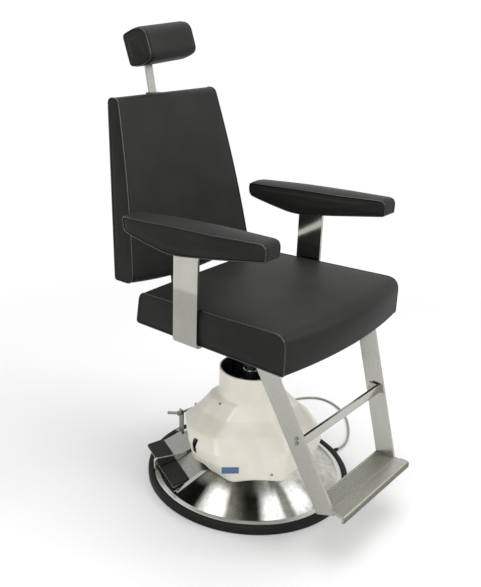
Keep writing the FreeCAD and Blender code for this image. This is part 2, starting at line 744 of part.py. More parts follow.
def arm_post():
    """A flat bar up the seat's side, bent under it at the lower end."""
    x1, x0 = POST_X, POST_X - BAR_T
    r = POST_BEND_R
    k = math.sqrt(0.5)
    inner = r - BAR_T
    y0 = POST_Y - POST_W / 2
    out_mid = V(x1 - r + r * k, y0, FOOT_LOW + r - r * k)
    in_mid = V(x0 - inner + inner * k, y0, SEAT_Z + inner - inner * k)
    loop = [
        Part.makeLine(V(x1, y0, CORE_Z), V(x1, y0, FOOT_LOW + r)),
        Part.Arc(V(x1, y0, FOOT_LOW + r), out_mid, V(x1 - r, y0, FOOT_LOW)).toShape(),
        Part.makeLine(V(x1 - r, y0, FOOT_LOW), V(FOOT_END, y0, FOOT_LOW)),
        Part.makeLine(V(FOOT_END, y0, FOOT_LOW), V(FOOT_END, y0, SEAT_Z)),
        Part.makeLine(V(FOOT_END, y0, SEAT_Z), V(x0 - inner, y0, SEAT_Z)),
        Part.Arc(V(x0 - inner, y0, SEAT_Z), in_mid, V(x0, y0, SEAT_Z + inner)).toShape(),
        Part.makeLine(V(x0, y0, SEAT_Z + inner), V(x0, y0, CORE_Z)),
        Part.makeLine(V(x0, y0, CORE_Z), V(x1, y0, CORE_Z)),
    ]
    return Part.Face(Part.Wire(loop)).extrude(V(0, POST_W, 0)).fuse(arm_core())


def arm_core():
    """The plate on top of the post to which the arm pad is screwed."""
    return box(ARM_X - CORE_HALF, ARM_X + CORE_HALF, ARM_FRONT_Y + 80, ARM_REAR_Y - 70, CORE_Z, CORE_Z + CORE_T)


def arm_pad():
    top, low = ARM_TOP, ARM_TOP - ARM_DEPTH
    profile = [(ARM_REAR_Y, top - 20), (ARM_REAR_Y - 6, top - 8), (ARM_REAR_Y - 40, top - 1), (POST_Y, top),
               (ARM_FRONT_Y + 40, top + 4), (ARM_FRONT_Y + 8, top - 2), (ARM_FRONT_Y, top - 16),
               (ARM_FRONT_Y + 5, top - 27), (POST_Y - POST_W, low + 9), (ARM_LOW_Y, low),
               (ARM_REAR_Y - 39, low + 28), (ARM_REAR_Y - 3, low + 38)]
    pad = prism_x(profile, ARM_X - ARM_HALF, ARM_X + ARM_HALF)
    front = [(ARM_HALF_FRONT, ARM_FRONT_Y), (ARM_HALF, ARM_FRONT_Y + ARM_TAPER_L), (ARM_HALF, ARM_REAR_Y - 90),
             (ARM_HALF / 2, ARM_REAR_Y)]
    ends = [(ARM_X + x, y) for x, y in front] + [(ARM_X - x, y) for x, y in front[::-1]]
    pad = pad.common(prism_z(ends, low - 10, top + 20))
    slot = box(POST_X - BAR_T - GAP, POST_X + GAP, POST_Y - POST_W / 2 - GAP, POST_Y + POST_W / 2 + GAP, low - 10, CORE_Z)
    return pad.cut(slot).cut(arm_core())


# ---------------------------------------------------------------- footrest
def leg_y(z):
    """Rear edge of a footrest bar at height z."""
    share = (LEG_TOP[2] - z) / (LEG_TOP[2] - LEG_FOOT[2])
    return LEG_TOP[1] + (LEG_FOOT[1] - LEG_TOP[1]) * share


def leg_x(z):
    """Outer face of the left footrest bar at height z."""
    share = (LEG_TOP[2] - z) / (LEG_TOP[2] - LEG_FOOT[2])
    return LEG_TOP[0] + (LEG_FOOT[0] - LEG_TOP[0]) * share


def leg_cos():
    fall = V(0, LEG_FOOT[1] - LEG_TOP[1], LEG_FOOT[2] - LEG_TOP[2])
    return abs(fall.z) / fall.Length


def leg_bar():
    """A flat bar that runs down, forward and inward from under the seat."""
    foot = V(*LEG_FOOT)
    along = V(*LEG_TOP) - foot
    along.normalize()
    across = V(0, LEG_FOOT[1] - LEG_TOP[1], LEG_FOOT[2] - LEG_TOP[2])
    across = V(0, across.z, -across.y)
    across.normalize()
    inward = along.cross(across)
    if inward.x > 0:
        inward = inward * -1
    a, b = foot, foot + across * LEG_W
    section = face([tuple(p) for p in (a, b, b + inward * BAR_T, a + inward * BAR_T)])
    bar = section.extrude(along * 2 * LEG_TOP[2])
    reach = 2 * BASE_R
    return bar.common(box(-reach, reach, -reach, reach, 0, FOOT_LOW))


def footrest_tie():
    rear = leg_y(FOOT_LOW)
    x = leg_x(FOOT_LOW)
    return box(-x, x, rear - LEG_W / leg_cos(), rear, FOOT_LOW, SEAT_Z)


def step_section():
    top, low = STEP_Z - RIB_H, STEP_Z - STEP_LIP
    front, rear = STEP_FRONT_Y, STEP_REAR_Y
    lip = 8.0
    return [(rear, top), (front + 4, top), (front, top - 4), (front, low + 3), (front + 3, low), (front + lip, low),
            (front + lip, top - STEP_T), (rear - lip, top - STEP_T), (rear - lip, low), (rear, low)]


def footrest_step():
    half = leg_x(STEP_Z)
    step = prism_x(step_section(), -half, half)
    ribs = []
    for i in range(RIB_COUNT):
        y = STEP_REAR_Y - 6 - i * RIB_PITCH
        ribs.append(box(-half + 14, half - 14, y - RIB_W, y, STEP_Z - RIB_H - 1, STEP_Z))
    step = step.fuse(ribs)
    for bar in both(leg_bar()):
        step = step.cut(bar)
    reach = leg_x(STEP_Z) - BAR_T / 2
    rear_limit = leg_y(STEP_Z - STEP_LIP) - LEG_W / leg_cos() - 6
    for side in (-1, 1):
        x0, x1 = sorted((side * reach, side * (reach + 40)))
        step = step.cut(box(x0, x1, rear_limit, 0, 0, STEP_Z + 10))
    return max(step.Solids, key=lambda s: s.Volume)


def both(shape):
    return [shape, mirrored(shape)]


def footrest_crossbar():
    """A flat bar between the two legs, its ends bent along their inner faces."""
    z1 = CROSSBAR_Z
    z0 = z1 - CROSSBAR_H
    y0 = CROSSBAR_Y - CROSSBAR_T / 2
    y1 = CROSSBAR_Y + CROSSBAR_T / 2
    x = leg_x(z1)
    bar = box(-x, x, y0, y1, z0, z1)
    tabs = [box(side_x - CROSSBAR_T, side_x, y1, y1 + TAB_L, z0, z1) for side_x in (leg_x(z0) - BAR_T - 2.4,)]
    bar = bar.fuse(tabs + [mirrored(t) for t in tabs])
    for leg in both(leg_bar()):
        bar = bar.cut(leg)
    return max(bar.Solids, key=lambda s: s.Volume)


def screw_places():
    return [(CROSSBAR_Y + 9, CROSSBAR_Z - 5), (CROSSBAR_Y + 9, CROSSBAR_Z - 18)]


def footrest_screws():
    screws = []
    for y, z in screw_places():
        x = leg_x(z)
        head = rod(SCREW_R * 1.7, V(x - 2.0, y, z), V(x + 2.0, y, z))
        screws.append(head.cut(leg_bar()))
    return group(screws + [mirrored(s) for s in screws])


# ---------------------------------------------------------------- back
def back_front_y(z):
    """Front face of the back at height z: a lean and a shallow hollow."""
    t = (z - BACK_LOW_Z) / (BACK_TOP_Z - BACK_LOW_Z)
    return BACK_FRONT_Y + BACK_LEAN * t - BACK_CURVE * math.sin(math.pi * t)


def back_rear_y(z):
    t = (z - BACK_LOW_Z) / (BACK_TOP_Z - BACK_LOW_Z)
    rear_low = BACK_FRONT_Y + BACK_T_LOW
    rear_top = BACK_FRONT_Y + BACK_LEAN + BACK_T_TOP
    return rear_low + (rear_top - rear_low) * t


def recline_lugs():
    lugs = []
    for x0 in (ARM_BAR_HALF + 4, -ARM_BAR_HALF - 4 - LUG_T):
        cheek = box(x0, x0 + LUG_T, SADDLE_REAR - 40, HINGE_Y, HINGE_Z - EYE_R, HINGE_Z + EYE_R)
        cheek = cheek.fuse(rod(EYE_R, V(x0, HINGE_Y, HINGE_Z), V(x0 + LUG_T, HINGE_Y, HINGE_Z)))
        lugs.append(cheek.cut(rod(PIN_R, V(x0 - 1, HINGE_Y, HINGE_Z), V(x0 + LUG_T + 1, HINGE_Y, HINGE_Z))))
    return lugs


PIN_HALF = ARM_BAR_HALF + 4 + LUG_T + 4


def recline_pin():
    pin = rod(PIN_R, V(-PIN_HALF, HINGE_Y, HINGE_Z), V(PIN_HALF + 20, HINGE_Y, HINGE_Z))
    return pin.fuse(rod(PIN_R + 4, V(-PIN_HALF - 4, HINGE_Y, HINGE_Z), V(-PIN_HALF, HINGE_Y, HINGE_Z)))


def recline_knob():
    x0 = PIN_HALF + 1
    knob = rod(17, V(x0, HINGE_Y, HINGE_Z), V(x0 + 16, HINGE_Y, HINGE_Z))
    wing = box(x0 + 4, x0 + 14, HINGE_Y - 5, HINGE_Y + 5, HINGE_Z - 42, HINGE_Z)
    return knob.fuse(wing).cut(rod(PIN_R + RUN, V(x0 - 5, HINGE_Y, HINGE_Z), V(x0 + 60, HINGE_Y, HINGE_Z)))


def back_bar():
    """The bent bar that carries the back: an eye on the hinge, a shelf and an upright leg."""
    z0, z1 = HINGE_Z - BAR_T / 2, HINGE_Z + BAR_T / 2
    inner_low, inner_top = back_rear_y(z1), back_rear_y(BACK_BAR_TOP)
    profile = [(HINGE_Y, z0), (inner_low + BAR_T, z0), (inner_top + BAR_T, BACK_BAR_TOP),
               (inner_top, BACK_BAR_TOP), (inner_low, z1), (HINGE_Y, z1)]
    bar = prism_x(profile, -ARM_BAR_HALF, ARM_BAR_HALF)
    eye_half = ARM_BAR_HALF + 3
    eye = rod(EYE_R, V(-eye_half, HINGE_Y, HINGE_Z), V(eye_half, HINGE_Y, HINGE_Z))
    return bar.fuse(eye).cut(rod(PIN_R + RUN, V(-99, HINGE_Y, HINGE_Z), V(99, HINGE_Y, HINGE_Z)))


def back_board():
    z0, z1 = BACK_LOW_Z + 25, BACK_TOP_Z - 35
    inset = 3.0
    profile = [(back_rear_y(z0) - inset, z0), (back_rear_y(z1) - inset, z1),
               (back_rear_y(z1) - inset - BACK_BOARD_T, z1), (back_rear_y(z0) - inset - BACK_BOARD_T, z0)]
    half_low, half_top = BACK_HALF_LOW - 30, BACK_HALF_TOP - 25
    outline = [(-half_low, z0), (half_low, z0), (half_top, z1), (-half_top, z1)]
    return prism_x(profile, -BACK_HALF_LOW, BACK_HALF_LOW).common(prism_y(outline, 0, 2 * BACK_FRONT_Y))


def back_cushion():
    low = BACK_LOW_Z - BACK_SAG - 2
    heights = [BACK_LOW_Z + (BACK_TOP_Z - 12 - BACK_LOW_Z) * i / 8 for i in range(9)]
    front = [(back_front_y(BACK_LOW_Z), low)] + [(back_front_y(z), z) for z in heights]
    rear = [(back_rear_y(heights[-1]), heights[-1]), (back_rear_y(low), low)]
    crest = [(back_front_y(BACK_TOP_Z) + 8, BACK_TOP_Z), (back_rear_y(BACK_TOP_Z) - 8, BACK_TOP_Z)]
    side = prism_x(front + crest + rear, -BACK_HALF_LOW, BACK_HALF_LOW)
    a, b = V(-BACK_HALF_LOW, 0, BACK_LOW_Z), V(BACK_HALF_LOW, 0, BACK_LOW_Z)
    c, d = V(BACK_HALF_TOP, 0, BACK_TOP_Z + 1), V(-BACK_HALF_TOP, 0, BACK_TOP_Z + 1)
    sag = Part.Arc(a, V(0, 0, BACK_LOW_Z - BACK_SAG), b).toShape()
    outline = Part.Face(Part.Wire([sag, Part.makeLine(b, c), Part.makeLine(c, d), Part.makeLine(d, a)]))
    return side.common(outline.extrude(V(0, 3 * BACK_FRONT_Y, 0))).cut(back_board())


# ---------------------------------------------------------------- headrest
def stalk_y(z):
    return STALK_Y + (z - STALK_Z) * math.tan(math.radians(STALK_LEAN))


def stalk_slab(z0, z1, half_x, half_t):
    """A leaning slab round the stalk's centre line between two heights."""
    lean = math.radians(STALK_LEAN)
    n = (math.cos(lean), -math.sin(lean))
    points = []
    for z, side in ((z0, -1), (z1, -1), (z1, 1), (z0, 1)):
        points.append((stalk_y(z) + side * n[0] * half_t, z + side * n[1] * half_t))
    return prism_x(points, -half_x, half_x)


def tilt_axis(x):
    return V(x, stalk_y(TILT_Z), TILT_Z)


def headrest_stalk():
    bar = stalk_slab(STALK_LOW_Z, TILT_Z, STALK_W / 2, STALK_T / 2)
    eye = rod(TILT_EYE_R, tilt_axis(-STALK_W / 2), tilt_axis(STALK_W / 2))
    return bar.fuse(eye).cut(rod(TILT_PIN_R + RUN, tilt_axis(-50), tilt_axis(50)))


def headrest_guide():
    """A block behind the back with a slot in which the stalk slides."""
    outer = STALK_T / 2 + GUIDE_WALL
    profile = [(back_rear_y(GUIDE_LOW_Z), GUIDE_LOW_Z), (stalk_y(GUIDE_LOW_Z) + outer, GUIDE_LOW_Z),
               (stalk_y(GUIDE_TOP_Z) + outer, GUIDE_TOP_Z), (back_rear_y(GUIDE_TOP_Z), GUIDE_TOP_Z)]
    block = prism_x(profile, -GUIDE_HALF, GUIDE_HALF)
    return block.cut(stalk_slab(GUIDE_LOW_Z - 30, GUIDE_TOP_Z + 30, STALK_W / 2 + RUN, STALK_T / 2 + RUN))


def rest_point(out, up):
    """A point of the headrest's section: out from its rear face towards the head, up from the hinge."""
    lean = math.radians(REST_LEAN)
    y0 = stalk_y(TILT_Z) - REST_STANDOFF
    return (y0 - out * math.cos(lean) + up * math.sin(lean), TILT_Z + out * math.sin(lean) + up * math.cos(lean))


def rest_prism(corners, half):
    return prism_x([rest_point(*c) for c in corners], -half, half)


def rolled(shape):
    """Turned about the axis that points out of the pad's rear face."""
    base, tip = V(0, *rest_point(0, 0)), V(0, *rest_point(1, 0))
    return turned(shape, REST_ROLL, base, tip - base)


def headrest_pad():
    low, high, deep = -36.0, REST_H - 36.0, REST_DEPTH
    section = [(0, low + 8), (0, high - 8), (8, high), (40, high + 3), (deep - 20, high - 3), (deep - 3, high - 21),
               (deep, 6), (deep - 2, low + 14), (deep - 12, low - 1), (deep - 30, low - 6), (40, low - 7), (8, low)]
    plan = [(REST_HALF, -1), (REST_HALF, deep - REST_NOSE), (REST_HALF - REST_NOSE, deep + 1)]
    plan = plan + [(-x, out) for x, out in plan[::-1]]
    ends = face([(x, *rest_point(out, -REST_H)) for x, out in plan])
    up = V(0, *rest_point(0, REST_H)) - V(0, *rest_point(0, -REST_H))
    return rolled(rest_prism(section, REST_HALF).common(ends.extrude(up))).cut(headrest_core())


def headrest_core():
    """The board inside the pad and the boss that reaches out to the bracket."""
    board = rest_prism([(2, -24), (2, 40), (14, 40), (14, -24)], REST_HALF - 22)
    return rolled(board.fuse(rest_prism([(0, -12), (0, 16), (2, 16), (2, -12)], 24)))


EAR_T = 4.0
EAR_X = STALK_W / 2 + 0.5


def headrest_frame():
    """The core, a plate on the pad's rear face and two ears for the tilt pin."""
    plate = rest_prism([(0, -13), (0, 24), (-4, 24), (-4, -13)], 32)
    solids = [headrest_core()]
    for x0 in (EAR_X, -EAR_X - EAR_T):
        ear = prism_x([rest_point(-4, -12), rest_point(-4, 12), (tilt_axis(0).y, TILT_Z + TILT_EYE_R),
                       (tilt_axis(0).y, TILT_Z - TILT_EYE_R)], x0, x0 + EAR_T)
        solids.append(ear.fuse(rod(TILT_EYE_R, tilt_axis(x0), tilt_axis(x0 + EAR_T))))
    return plate.fuse(solids).cut(rod(TILT_PIN_R, tilt_axis(-50), tilt_axis(50)))


def tilt_pin():
    half = EAR_X + EAR_T
    pin = rod(TILT_PIN_R, tilt_axis(-half - 2), tilt_axis(half + 2))
    return pin.fuse(rod(TILT_PIN_R + 3, tilt_axis(half), tilt_axis(half + 5)))


# ---------------------------------------------------------------- power cord
def relief_frame():
    """Where the strain relief leaves the bumper, and its direction."""
    a, b = math.radians(RELIEF_AZ), math.radians(RELIEF_DIR)
    return V(BASE_R * math.cos(a), BASE_R * math.sin(a), RELIEF_Z), V(math.cos(b), math.sin(b), 0)


def relief_hole():
    exit_point, out = relief_frame()
    return rod(2 * CORD_R, exit_point - out * 60, exit_point + out * 20)


def strain_relief():
    exit_point, out = relief_frame()
    body = rod(2 * CORD_R, exit_point - out * RELIEF_IN, exit_point)
    cone = Part.makeCone(2 * CORD_R, CORD_R + 1.2, RELIEF_OUT, exit_point, out)
    return body.fuse(cone)


def swept_tube(points, radius):
    """A round tube along straight runs joined by tangent arcs; prints each arc's radius."""
    corners = []
    for before, at, after in zip(points, points[1:], points[2:]):
        u, w = (before - at), (after - at)
        turn = math.pi - u.getAngle(w)
        trim = 0.45 * min(u.Length, w.Length)
        corners.append((at, u.normalize() * trim, w.normalize() * trim, trim / math.tan(turn / 2)))
    print("arc radii", [round(c[3]) for c in corners])
    edges = []
    last = points[0]
    for at, to_before, to_after, bend in corners:
        start, end = at + to_before, at + to_after
        middle = to_before + to_after
        reach = math.hypot(bend, to_before.Length)
        mid = at + middle.normalize() * (reach - bend)
        edges.append(Part.makeLine(last, start))
        edges.append(Part.Arc(start, mid, end).toShape())
        last = end
    edges.append(Part.makeLine(last, points[-1]))
    path = Part.Wire(edges)
    heading = points[1] - points[0]
    ring = Part.Wire([Part.makeCircle(radius, points[0], heading)])
    tube = path.makePipeShell([ring], True, True)
    ideal = math.pi * radius ** 2 * path.Length
    print("tube length", round(path.Length), "volume / ideal", round(tube.Volume / ideal, 4))
    return tube


def cord_points():
    exit_point, out = relief_frame()
    return [exit_point + out * RELIEF_OUT] + [V(*p) for p in CORD_POINTS]


def power_cord():
    return swept_tube(cord_points(), CORD_R)


def coil_centre():
    end = V(*CORD_POINTS[-1])
    return end + V(COIL_R + COIL_BAND / 2 - CORD_R, 0, 0)


def power_cord_coil():
    c = coil_centre()
    low = CORD_Z - CORD_R
    return pipe_z(COIL_R + COIL_BAND / 2, COIL_R - COIL_BAND / 2, low, low + COIL_H, c.x, c.y)


PLUG_AZ = 35.0        # where the plug leaves the coil, seen from the coil's middle


def power_plug():
    """A moulded plug with two blades and a round pin, lying against the coil."""
    boot = Part.makeCone(CORD_R + 1, CORD_R + 3, 26, V(COIL_R + COIL_BAND / 2 - 3, 0, PLUG_H / 2), V(1, 0, 0))
    x0 = COIL_R + COIL_BAND / 2 + 23
    body = box(x0, x0 + PLUG_L, -PLUG_W / 2, PLUG_W / 2, 0, PLUG_H)
    body = rounded(body, 4, lambda p: abs(p.x - x0 - PLUG_L / 2) < 1)
    blades = [box(x0 + PLUG_L, x0 + PLUG_L + 16, y - 0.8, y + 0.8, PLUG_H / 2 - 3, PLUG_H / 2 + 3) for y in (-6.3, 6.3)]
    pin = rod(2.4, V(x0 + PLUG_L, 0, PLUG_H / 2 - 5), V(x0 + PLUG_L + 18, 0, PLUG_H / 2 - 5))
    plug = turned(body.fuse([boot, pin] + blades), PLUG_AZ)
    plug.translate(coil_centre() + V(0, 0, FLOOR_GAP - CORD_Z))
    return plug.cut(power_cord_coil())


# ---------------------------------------------------------------- write the parts
def pair(name, shape):
    save(name + "_left", shape)
    save(name + "_right", mirrored(shape))


def main():
    save("base_plate", base_plate())
    save("bumper_ring", bumper_ring())
    save("base_cover", base_cover())
    save("pedal_rails", pedal_rails())
    save("pedal_divider", pedal_divider())
    save("pedal_shaft", pedal_shaft())
    save("pedal_springs", pedal_springs())
    save("pedal_switches", pedal_switches())
    for name, y, tilt in (("lower", 0.0, 0.0), ("raise", -PEDAL_PITCH, RAISE_TILT)):
        save("pedal_plate_" + name, placed_pedal(pedal_plate(y), tilt))
        save("pedal_pad_" + name, placed_pedal(pedal_pad(y), tilt))
    save("lock_bracket", lock_bracket())
    save("lock_lever", lock_lever())
    save("shroud_front", shroud_half(1))
    save("shroud_rear", shroud_half(-1))
    save("shroud_screws", shroud_screws())
    save("badge_plate", badge_plate())
    save("cylinder_barrel", cylinder_barrel())
    save("cylinder_gland", cylinder_gland())
    save("guide_bridge", guide_bridge())
    save("guide_bushes", guide_bushes())
    save("pump_motor", pump_motor())
    save("pump_body", pump_body())
    save("oil_reservoir", oil_reservoir())
    save("pressure_pipe", pressure_pipe())
    save("ram", ram())
    save("piston", piston())
    save("crosshead", crosshead())
    save("guide_rods", guide_rods())
    save("thrust_bearing", thrust_bearing())
    save("swivel_hub", swivel_hub())
    save("hub_bolts", hub_bolts())
    save("saddle_plate", saddle_plate())
    save("seat_board", seat_board())
    save("seat_cushion", seat_cushion())
    pair("arm_post", arm_post())
    pair("arm_pad", arm_pad())
    pair("footrest_bar", leg_bar())
    save("footrest_tie", footrest_tie())
    save("footrest_crossbar", footrest_crossbar())
    save("footrest_step", footrest_step())
    save("footrest_screws", footrest_screws())
    save("recline_pin", recline_pin())
    save("recline_knob", recline_knob())
    save("back_bar", back_bar())
    save("back_board", back_board())
    save("back_cushion", back_cushion())
    save("headrest_guide", headrest_guide())
    save("headrest_stalk", headrest_stalk())
    save("headrest_frame", headrest_frame())
    save("tilt_pin", tilt_pin())
    save("headrest_pad", headrest_pad())
    save("strain_relief", strain_relief())
    save("power_cord", power_cord())
    save("power_cord_coil", power_cord_coil())
    save("power_plug", power_plug())


main()
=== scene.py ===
# %% [markdown]
# # A hydraulic barber chair, dressed for a picture
# The solid model of the chair is loaded first and never changed. Each later cell
# adds one thing to it: the camera, the cord, the upholstery, the moulded shroud,
# the spun metal and the finishes. Lengths below are written in millimetres, as on
# a workshop drawing, and `metres` turns them into Blender's unit.
# %% Load the chair
import math
import bmesh
import bpy
import numpy as np
from mathutils import Matrix, Vector


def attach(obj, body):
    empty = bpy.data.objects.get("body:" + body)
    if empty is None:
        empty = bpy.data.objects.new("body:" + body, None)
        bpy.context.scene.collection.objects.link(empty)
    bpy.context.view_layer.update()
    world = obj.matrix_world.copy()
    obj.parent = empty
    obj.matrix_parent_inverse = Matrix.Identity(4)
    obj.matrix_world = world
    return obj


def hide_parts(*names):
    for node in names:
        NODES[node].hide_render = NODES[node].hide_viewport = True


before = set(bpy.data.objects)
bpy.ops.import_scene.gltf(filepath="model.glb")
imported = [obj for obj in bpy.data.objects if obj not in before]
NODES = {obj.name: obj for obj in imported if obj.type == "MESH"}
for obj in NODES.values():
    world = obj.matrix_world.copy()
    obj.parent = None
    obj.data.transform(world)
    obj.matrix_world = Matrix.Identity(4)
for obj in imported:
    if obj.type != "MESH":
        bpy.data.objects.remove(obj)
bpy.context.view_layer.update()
MM = 0.001


def metres(points):
    """The same points with every coordinate divided by 1000, as an array."""
    return np.asarray(points, float) * MM


# %% [markdown]
# ## Camera
# A camera is a place, a direction and a focal length. It looks down on the chair
# from the sitter's front right. The lens shift slides the picture sideways without
# turning the camera, which keeps the uprights of the chair upright.
# %% Camera
AZIMUTH, ELEVATION, ROLL = map(math.radians, (-45.9, 19.4, -0.3))
LONG_SIDE = 587.0      # picture height in its own units
FOCAL = 757.6          # focal length in the same units
SENSOR = 36.0
CAMERA_AT = (-1.5466, -1.1058, 1.2632)
SHIFT_ACROSS, SHIFT_UP = 92.7, -17.0

back = Vector((math.sin(AZIMUTH) * math.cos(ELEVATION), -math.cos(AZIMUTH) * math.cos(ELEVATION),
               math.sin(ELEVATION)))
right = Vector((math.cos(AZIMUTH), math.sin(AZIMUTH), 0.0))
turn = Matrix((right, back.cross(right), back)).transposed() @ Matrix.Rotation(ROLL, 3, "Z")
lens = bpy.data.cameras.new("camera")
lens.sensor_width = SENSOR
lens.lens = FOCAL * SENSOR / LONG_SIDE
lens.shift_x = SHIFT_ACROSS / LONG_SIDE
lens.shift_y = SHIFT_UP / LONG_SIDE
camera = bpy.data.objects.new("camera", lens)
camera.matrix_world = Matrix.Translation(CAMERA_AT) @ turn.to_4x4()
bpy.context.scene.collection.objects.link(camera)
bpy.context.scene.camera = camera
print("lens", round(lens.lens, 2), "mm")

# %% [markdown]
# ## From arrays to meshes
# Every new surface is a grid of points worked out by numpy. One function turns a
# grid into a mesh: neighbours in the grid become four-sided faces, and an end that
# should be closed gets one middle point and a fan of triangles.
# %% Grid to mesh
def grid_faces(rows, columns, closed):
    """Corners (i, j), (i, j+1), (i+1, j+1), (i+1, j) of every cell, as point numbers."""
    last = columns if closed else columns - 1
    i, j = np.meshgrid(np.arange(rows - 1), np.arange(last), indexing="ij")
    k = (j + 1) % columns
    cells = np.stack([i * columns + j, i * columns + k, (i + 1) * columns + k, (i + 1) * columns + j], -1)
    return cells.reshape(-1, 4)


def build_mesh(name, points, faces):
    """A smooth-shaded object in the scene, from points in metres and faces as point numbers."""
    mesh = bpy.data.meshes.new(name)
    mesh.from_pydata(points.tolist(), [], [list(f) for f in faces])
    mesh.shade_smooth()
    body = bpy.data.objects.new(name, mesh)
    bpy.context.scene.collection.objects.link(body)
    return body


def outward(body):
    """Merges doubled points and turns every face outwards."""
    shape = bmesh.new()
    shape.from_mesh(body.data)
    bmesh.ops.remove_doubles(shape, verts=shape.verts, dist=1e-6)
    bmesh.ops.recalc_face_normals(shape, faces=shape.faces)
    shape.to_mesh(body.data)
    shape.free()
    return body


def skin(name, rings, around=True, ends=True, keep=None):
    """A mesh through a grid of points in mm: `around` joins the last column to the first,
    `ends` closes the first and last ring, `keep` is a mask of the cells that are not holes."""
    rows, columns = rings.shape[:2]
    points = rings.reshape(-1, 3)
    cells = grid_faces(rows, columns, around)
    if keep is not None:
        cells = cells[keep.reshape(-1)]
    faces = cells.tolist()
    if ends:
        first, last = len(points), len(points) + 1
        points = np.vstack([points, rings[0].mean(0), rings[-1].mean(0)])
        j = np.arange(columns)
        k = (j + 1) % columns
        faces += np.stack([k, j, np.full(columns, first)], -1).tolist()
        top = (rows - 1) * columns
        faces += np.stack([top + j, top + k, np.full(columns, last)], -1).tolist()
    return outward(build_mesh(name, metres(points), faces))


def wall(body, thickness):
    """Gives an open surface a wall of that many mm, inwards from the surface."""
    solid = body.modifiers.new("wall", "SOLIDIFY")
    solid.thickness = thickness * MM
    solid.offset = -1.0
    solid.use_even_offset = True
    return body


def place(body, on, finish, *instead_of, slot=None):
    """The piece moves with body `on`, shows `finish` and stands for the named nodes."""
    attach(body, on)
    if instead_of:
        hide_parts(*instead_of)
    body.data.materials.append(finish)
    return body


print("grid helpers ready")

# %% [markdown]
# ## Curves worked out with numpy
# Two curves are used all over the chair. One passes through a few points that a
# maker would mark on a template. The other is a superellipse, a rectangle whose
# corners are rounded by its power. Both are resampled so that points gather where
# the line turns.
# %% Curves
def through(marks, count=400, closed=True):
    """A centripetal Catmull-Rom curve: between marks B and C it is the blend of the
    parabolas through A, B, C and B, C, D, with knots spaced by the root of the distance."""
    marks = np.asarray(marks, float)
    if closed:
        before, after = marks[-1:], marks[:2]
    else:
        before, after = 2 * marks[:1] - marks[1:2], 2 * marks[-1:] - marks[-2:-1]
    p = np.vstack([before, marks, after])
    spans = len(marks) if closed else len(marks) - 1
    step = np.sqrt(np.linalg.norm(np.diff(p, axis=0), axis=1))
    knots = np.concatenate([[0], np.cumsum(step)])
    u = np.linspace(0, spans, count, endpoint=not closed)
    i = np.minimum(u.astype(int), spans - 1)
    t0, t1, t2, t3 = (knots[i + k][:, None] for k in range(4))
    p0, p1, p2, p3 = (p[i + k] for k in range(4))
    t = t1 + (t2 - t1) * (u - i)[:, None]
    a1 = (t1 - t) / (t1 - t0) * p0 + (t - t0) / (t1 - t0) * p1
    a2 = (t2 - t) / (t2 - t1) * p1 + (t - t1) / (t2 - t1) * p2
    a3 = (t3 - t) / (t3 - t2) * p2 + (t - t2) / (t3 - t2) * p3
    b1 = (t2 - t) / (t2 - t0) * a1 + (t - t0) / (t2 - t0) * a2
    b2 = (t3 - t) / (t3 - t1) * a2 + (t - t1) / (t3 - t1) * a3
    return (t2 - t) / (t2 - t1) * b1 + (t - t1) / (t2 - t1) * b2


def gathered(line, count, per_radian=40.0, closed=True):
    """Resamples a line evenly in (length + per_radian x turning angle)."""
    ring = np.vstack([line, line[:1]]) if closed else line
    run = np.diff(ring, axis=0)
    length = np.linalg.norm(run, axis=1)
    heading = run / np.maximum(length, 1e-9)[:, None]
    turned = np.arccos(np.clip((heading[:-1] * heading[1:]).sum(1), -1, 1))
    turned = np.concatenate([[0], turned])
    weight = np.concatenate([[0], np.cumsum(length + per_radian * turned)])
    at = np.linspace(0, weight[-1], count, endpoint=not closed)
    return np.stack([np.interp(at, weight, ring[:, k]) for k in range(ring.shape[1])], -1)


def superellipse(power, count=2000):
    """u = sign(cos a)|cos a|^(2/p), v = sign(sin a)|sin a|^(2/p)."""
    a = np.linspace(0, 2 * math.pi, count, endpoint=False)
    c, s = np.cos(a), np.sin(a)
    return np.stack([np.sign(c) * np.abs(c) ** (2 / power), np.sign(s) * np.abs(s) ** (2 / power)], -1)


def plan_normals(plan):
    """Outward unit normals of a closed plan that runs anticlockwise."""
    run = np.roll(plan, -1, 0) - np.roll(plan, 1, 0)
    normal = np.stack([run[:, 1], -run[:, 0]], -1)
    return normal / np.linalg.norm(normal, axis=1)[:, None]


print("corner of power 28 is cut by", round(1 - 2 ** (-1 / 28), 4))

# %% [markdown]
# ## Tubes
# Piping, welts and the ribs of a strain relief are a small circle carried along a
# path. The circle must not twist, so its two directions are the path's own normal
# to a fixed up direction, worked out for all points at once.
# %% Tube along a path
def tube(name, path, radius, closed=False, sides=8, up=(0.0, 0.0, 1.0)):
    """Point + radius (cos b . across + sin b . over): across = heading x up, over = across x heading."""
    path = np.asarray(path, float)
    if closed:
        run = np.roll(path, -1, 0) - np.roll(path, 1, 0)
    else:
        run = np.gradient(path, axis=0)
    heading = run / np.linalg.norm(run, axis=1)[:, None]
    across = np.cross(heading, np.asarray(up, float))
    across /= np.linalg.norm(across, axis=1)[:, None]
    over = np.cross(across, heading)
    b = np.linspace(0, 2 * math.pi, sides, endpoint=False)
    radius = np.broadcast_to(np.asarray(radius, float), len(path))
    rings = path[:, None] + radius[:, None, None] * (np.cos(b)[None, :, None] * across[:, None]
                                                     + np.sin(b)[None, :, None] * over[:, None])
    if closed:
        rings = np.vstack([rings, rings[:1]])
    return skin(name, rings, ends=not closed)


print("tube ready")

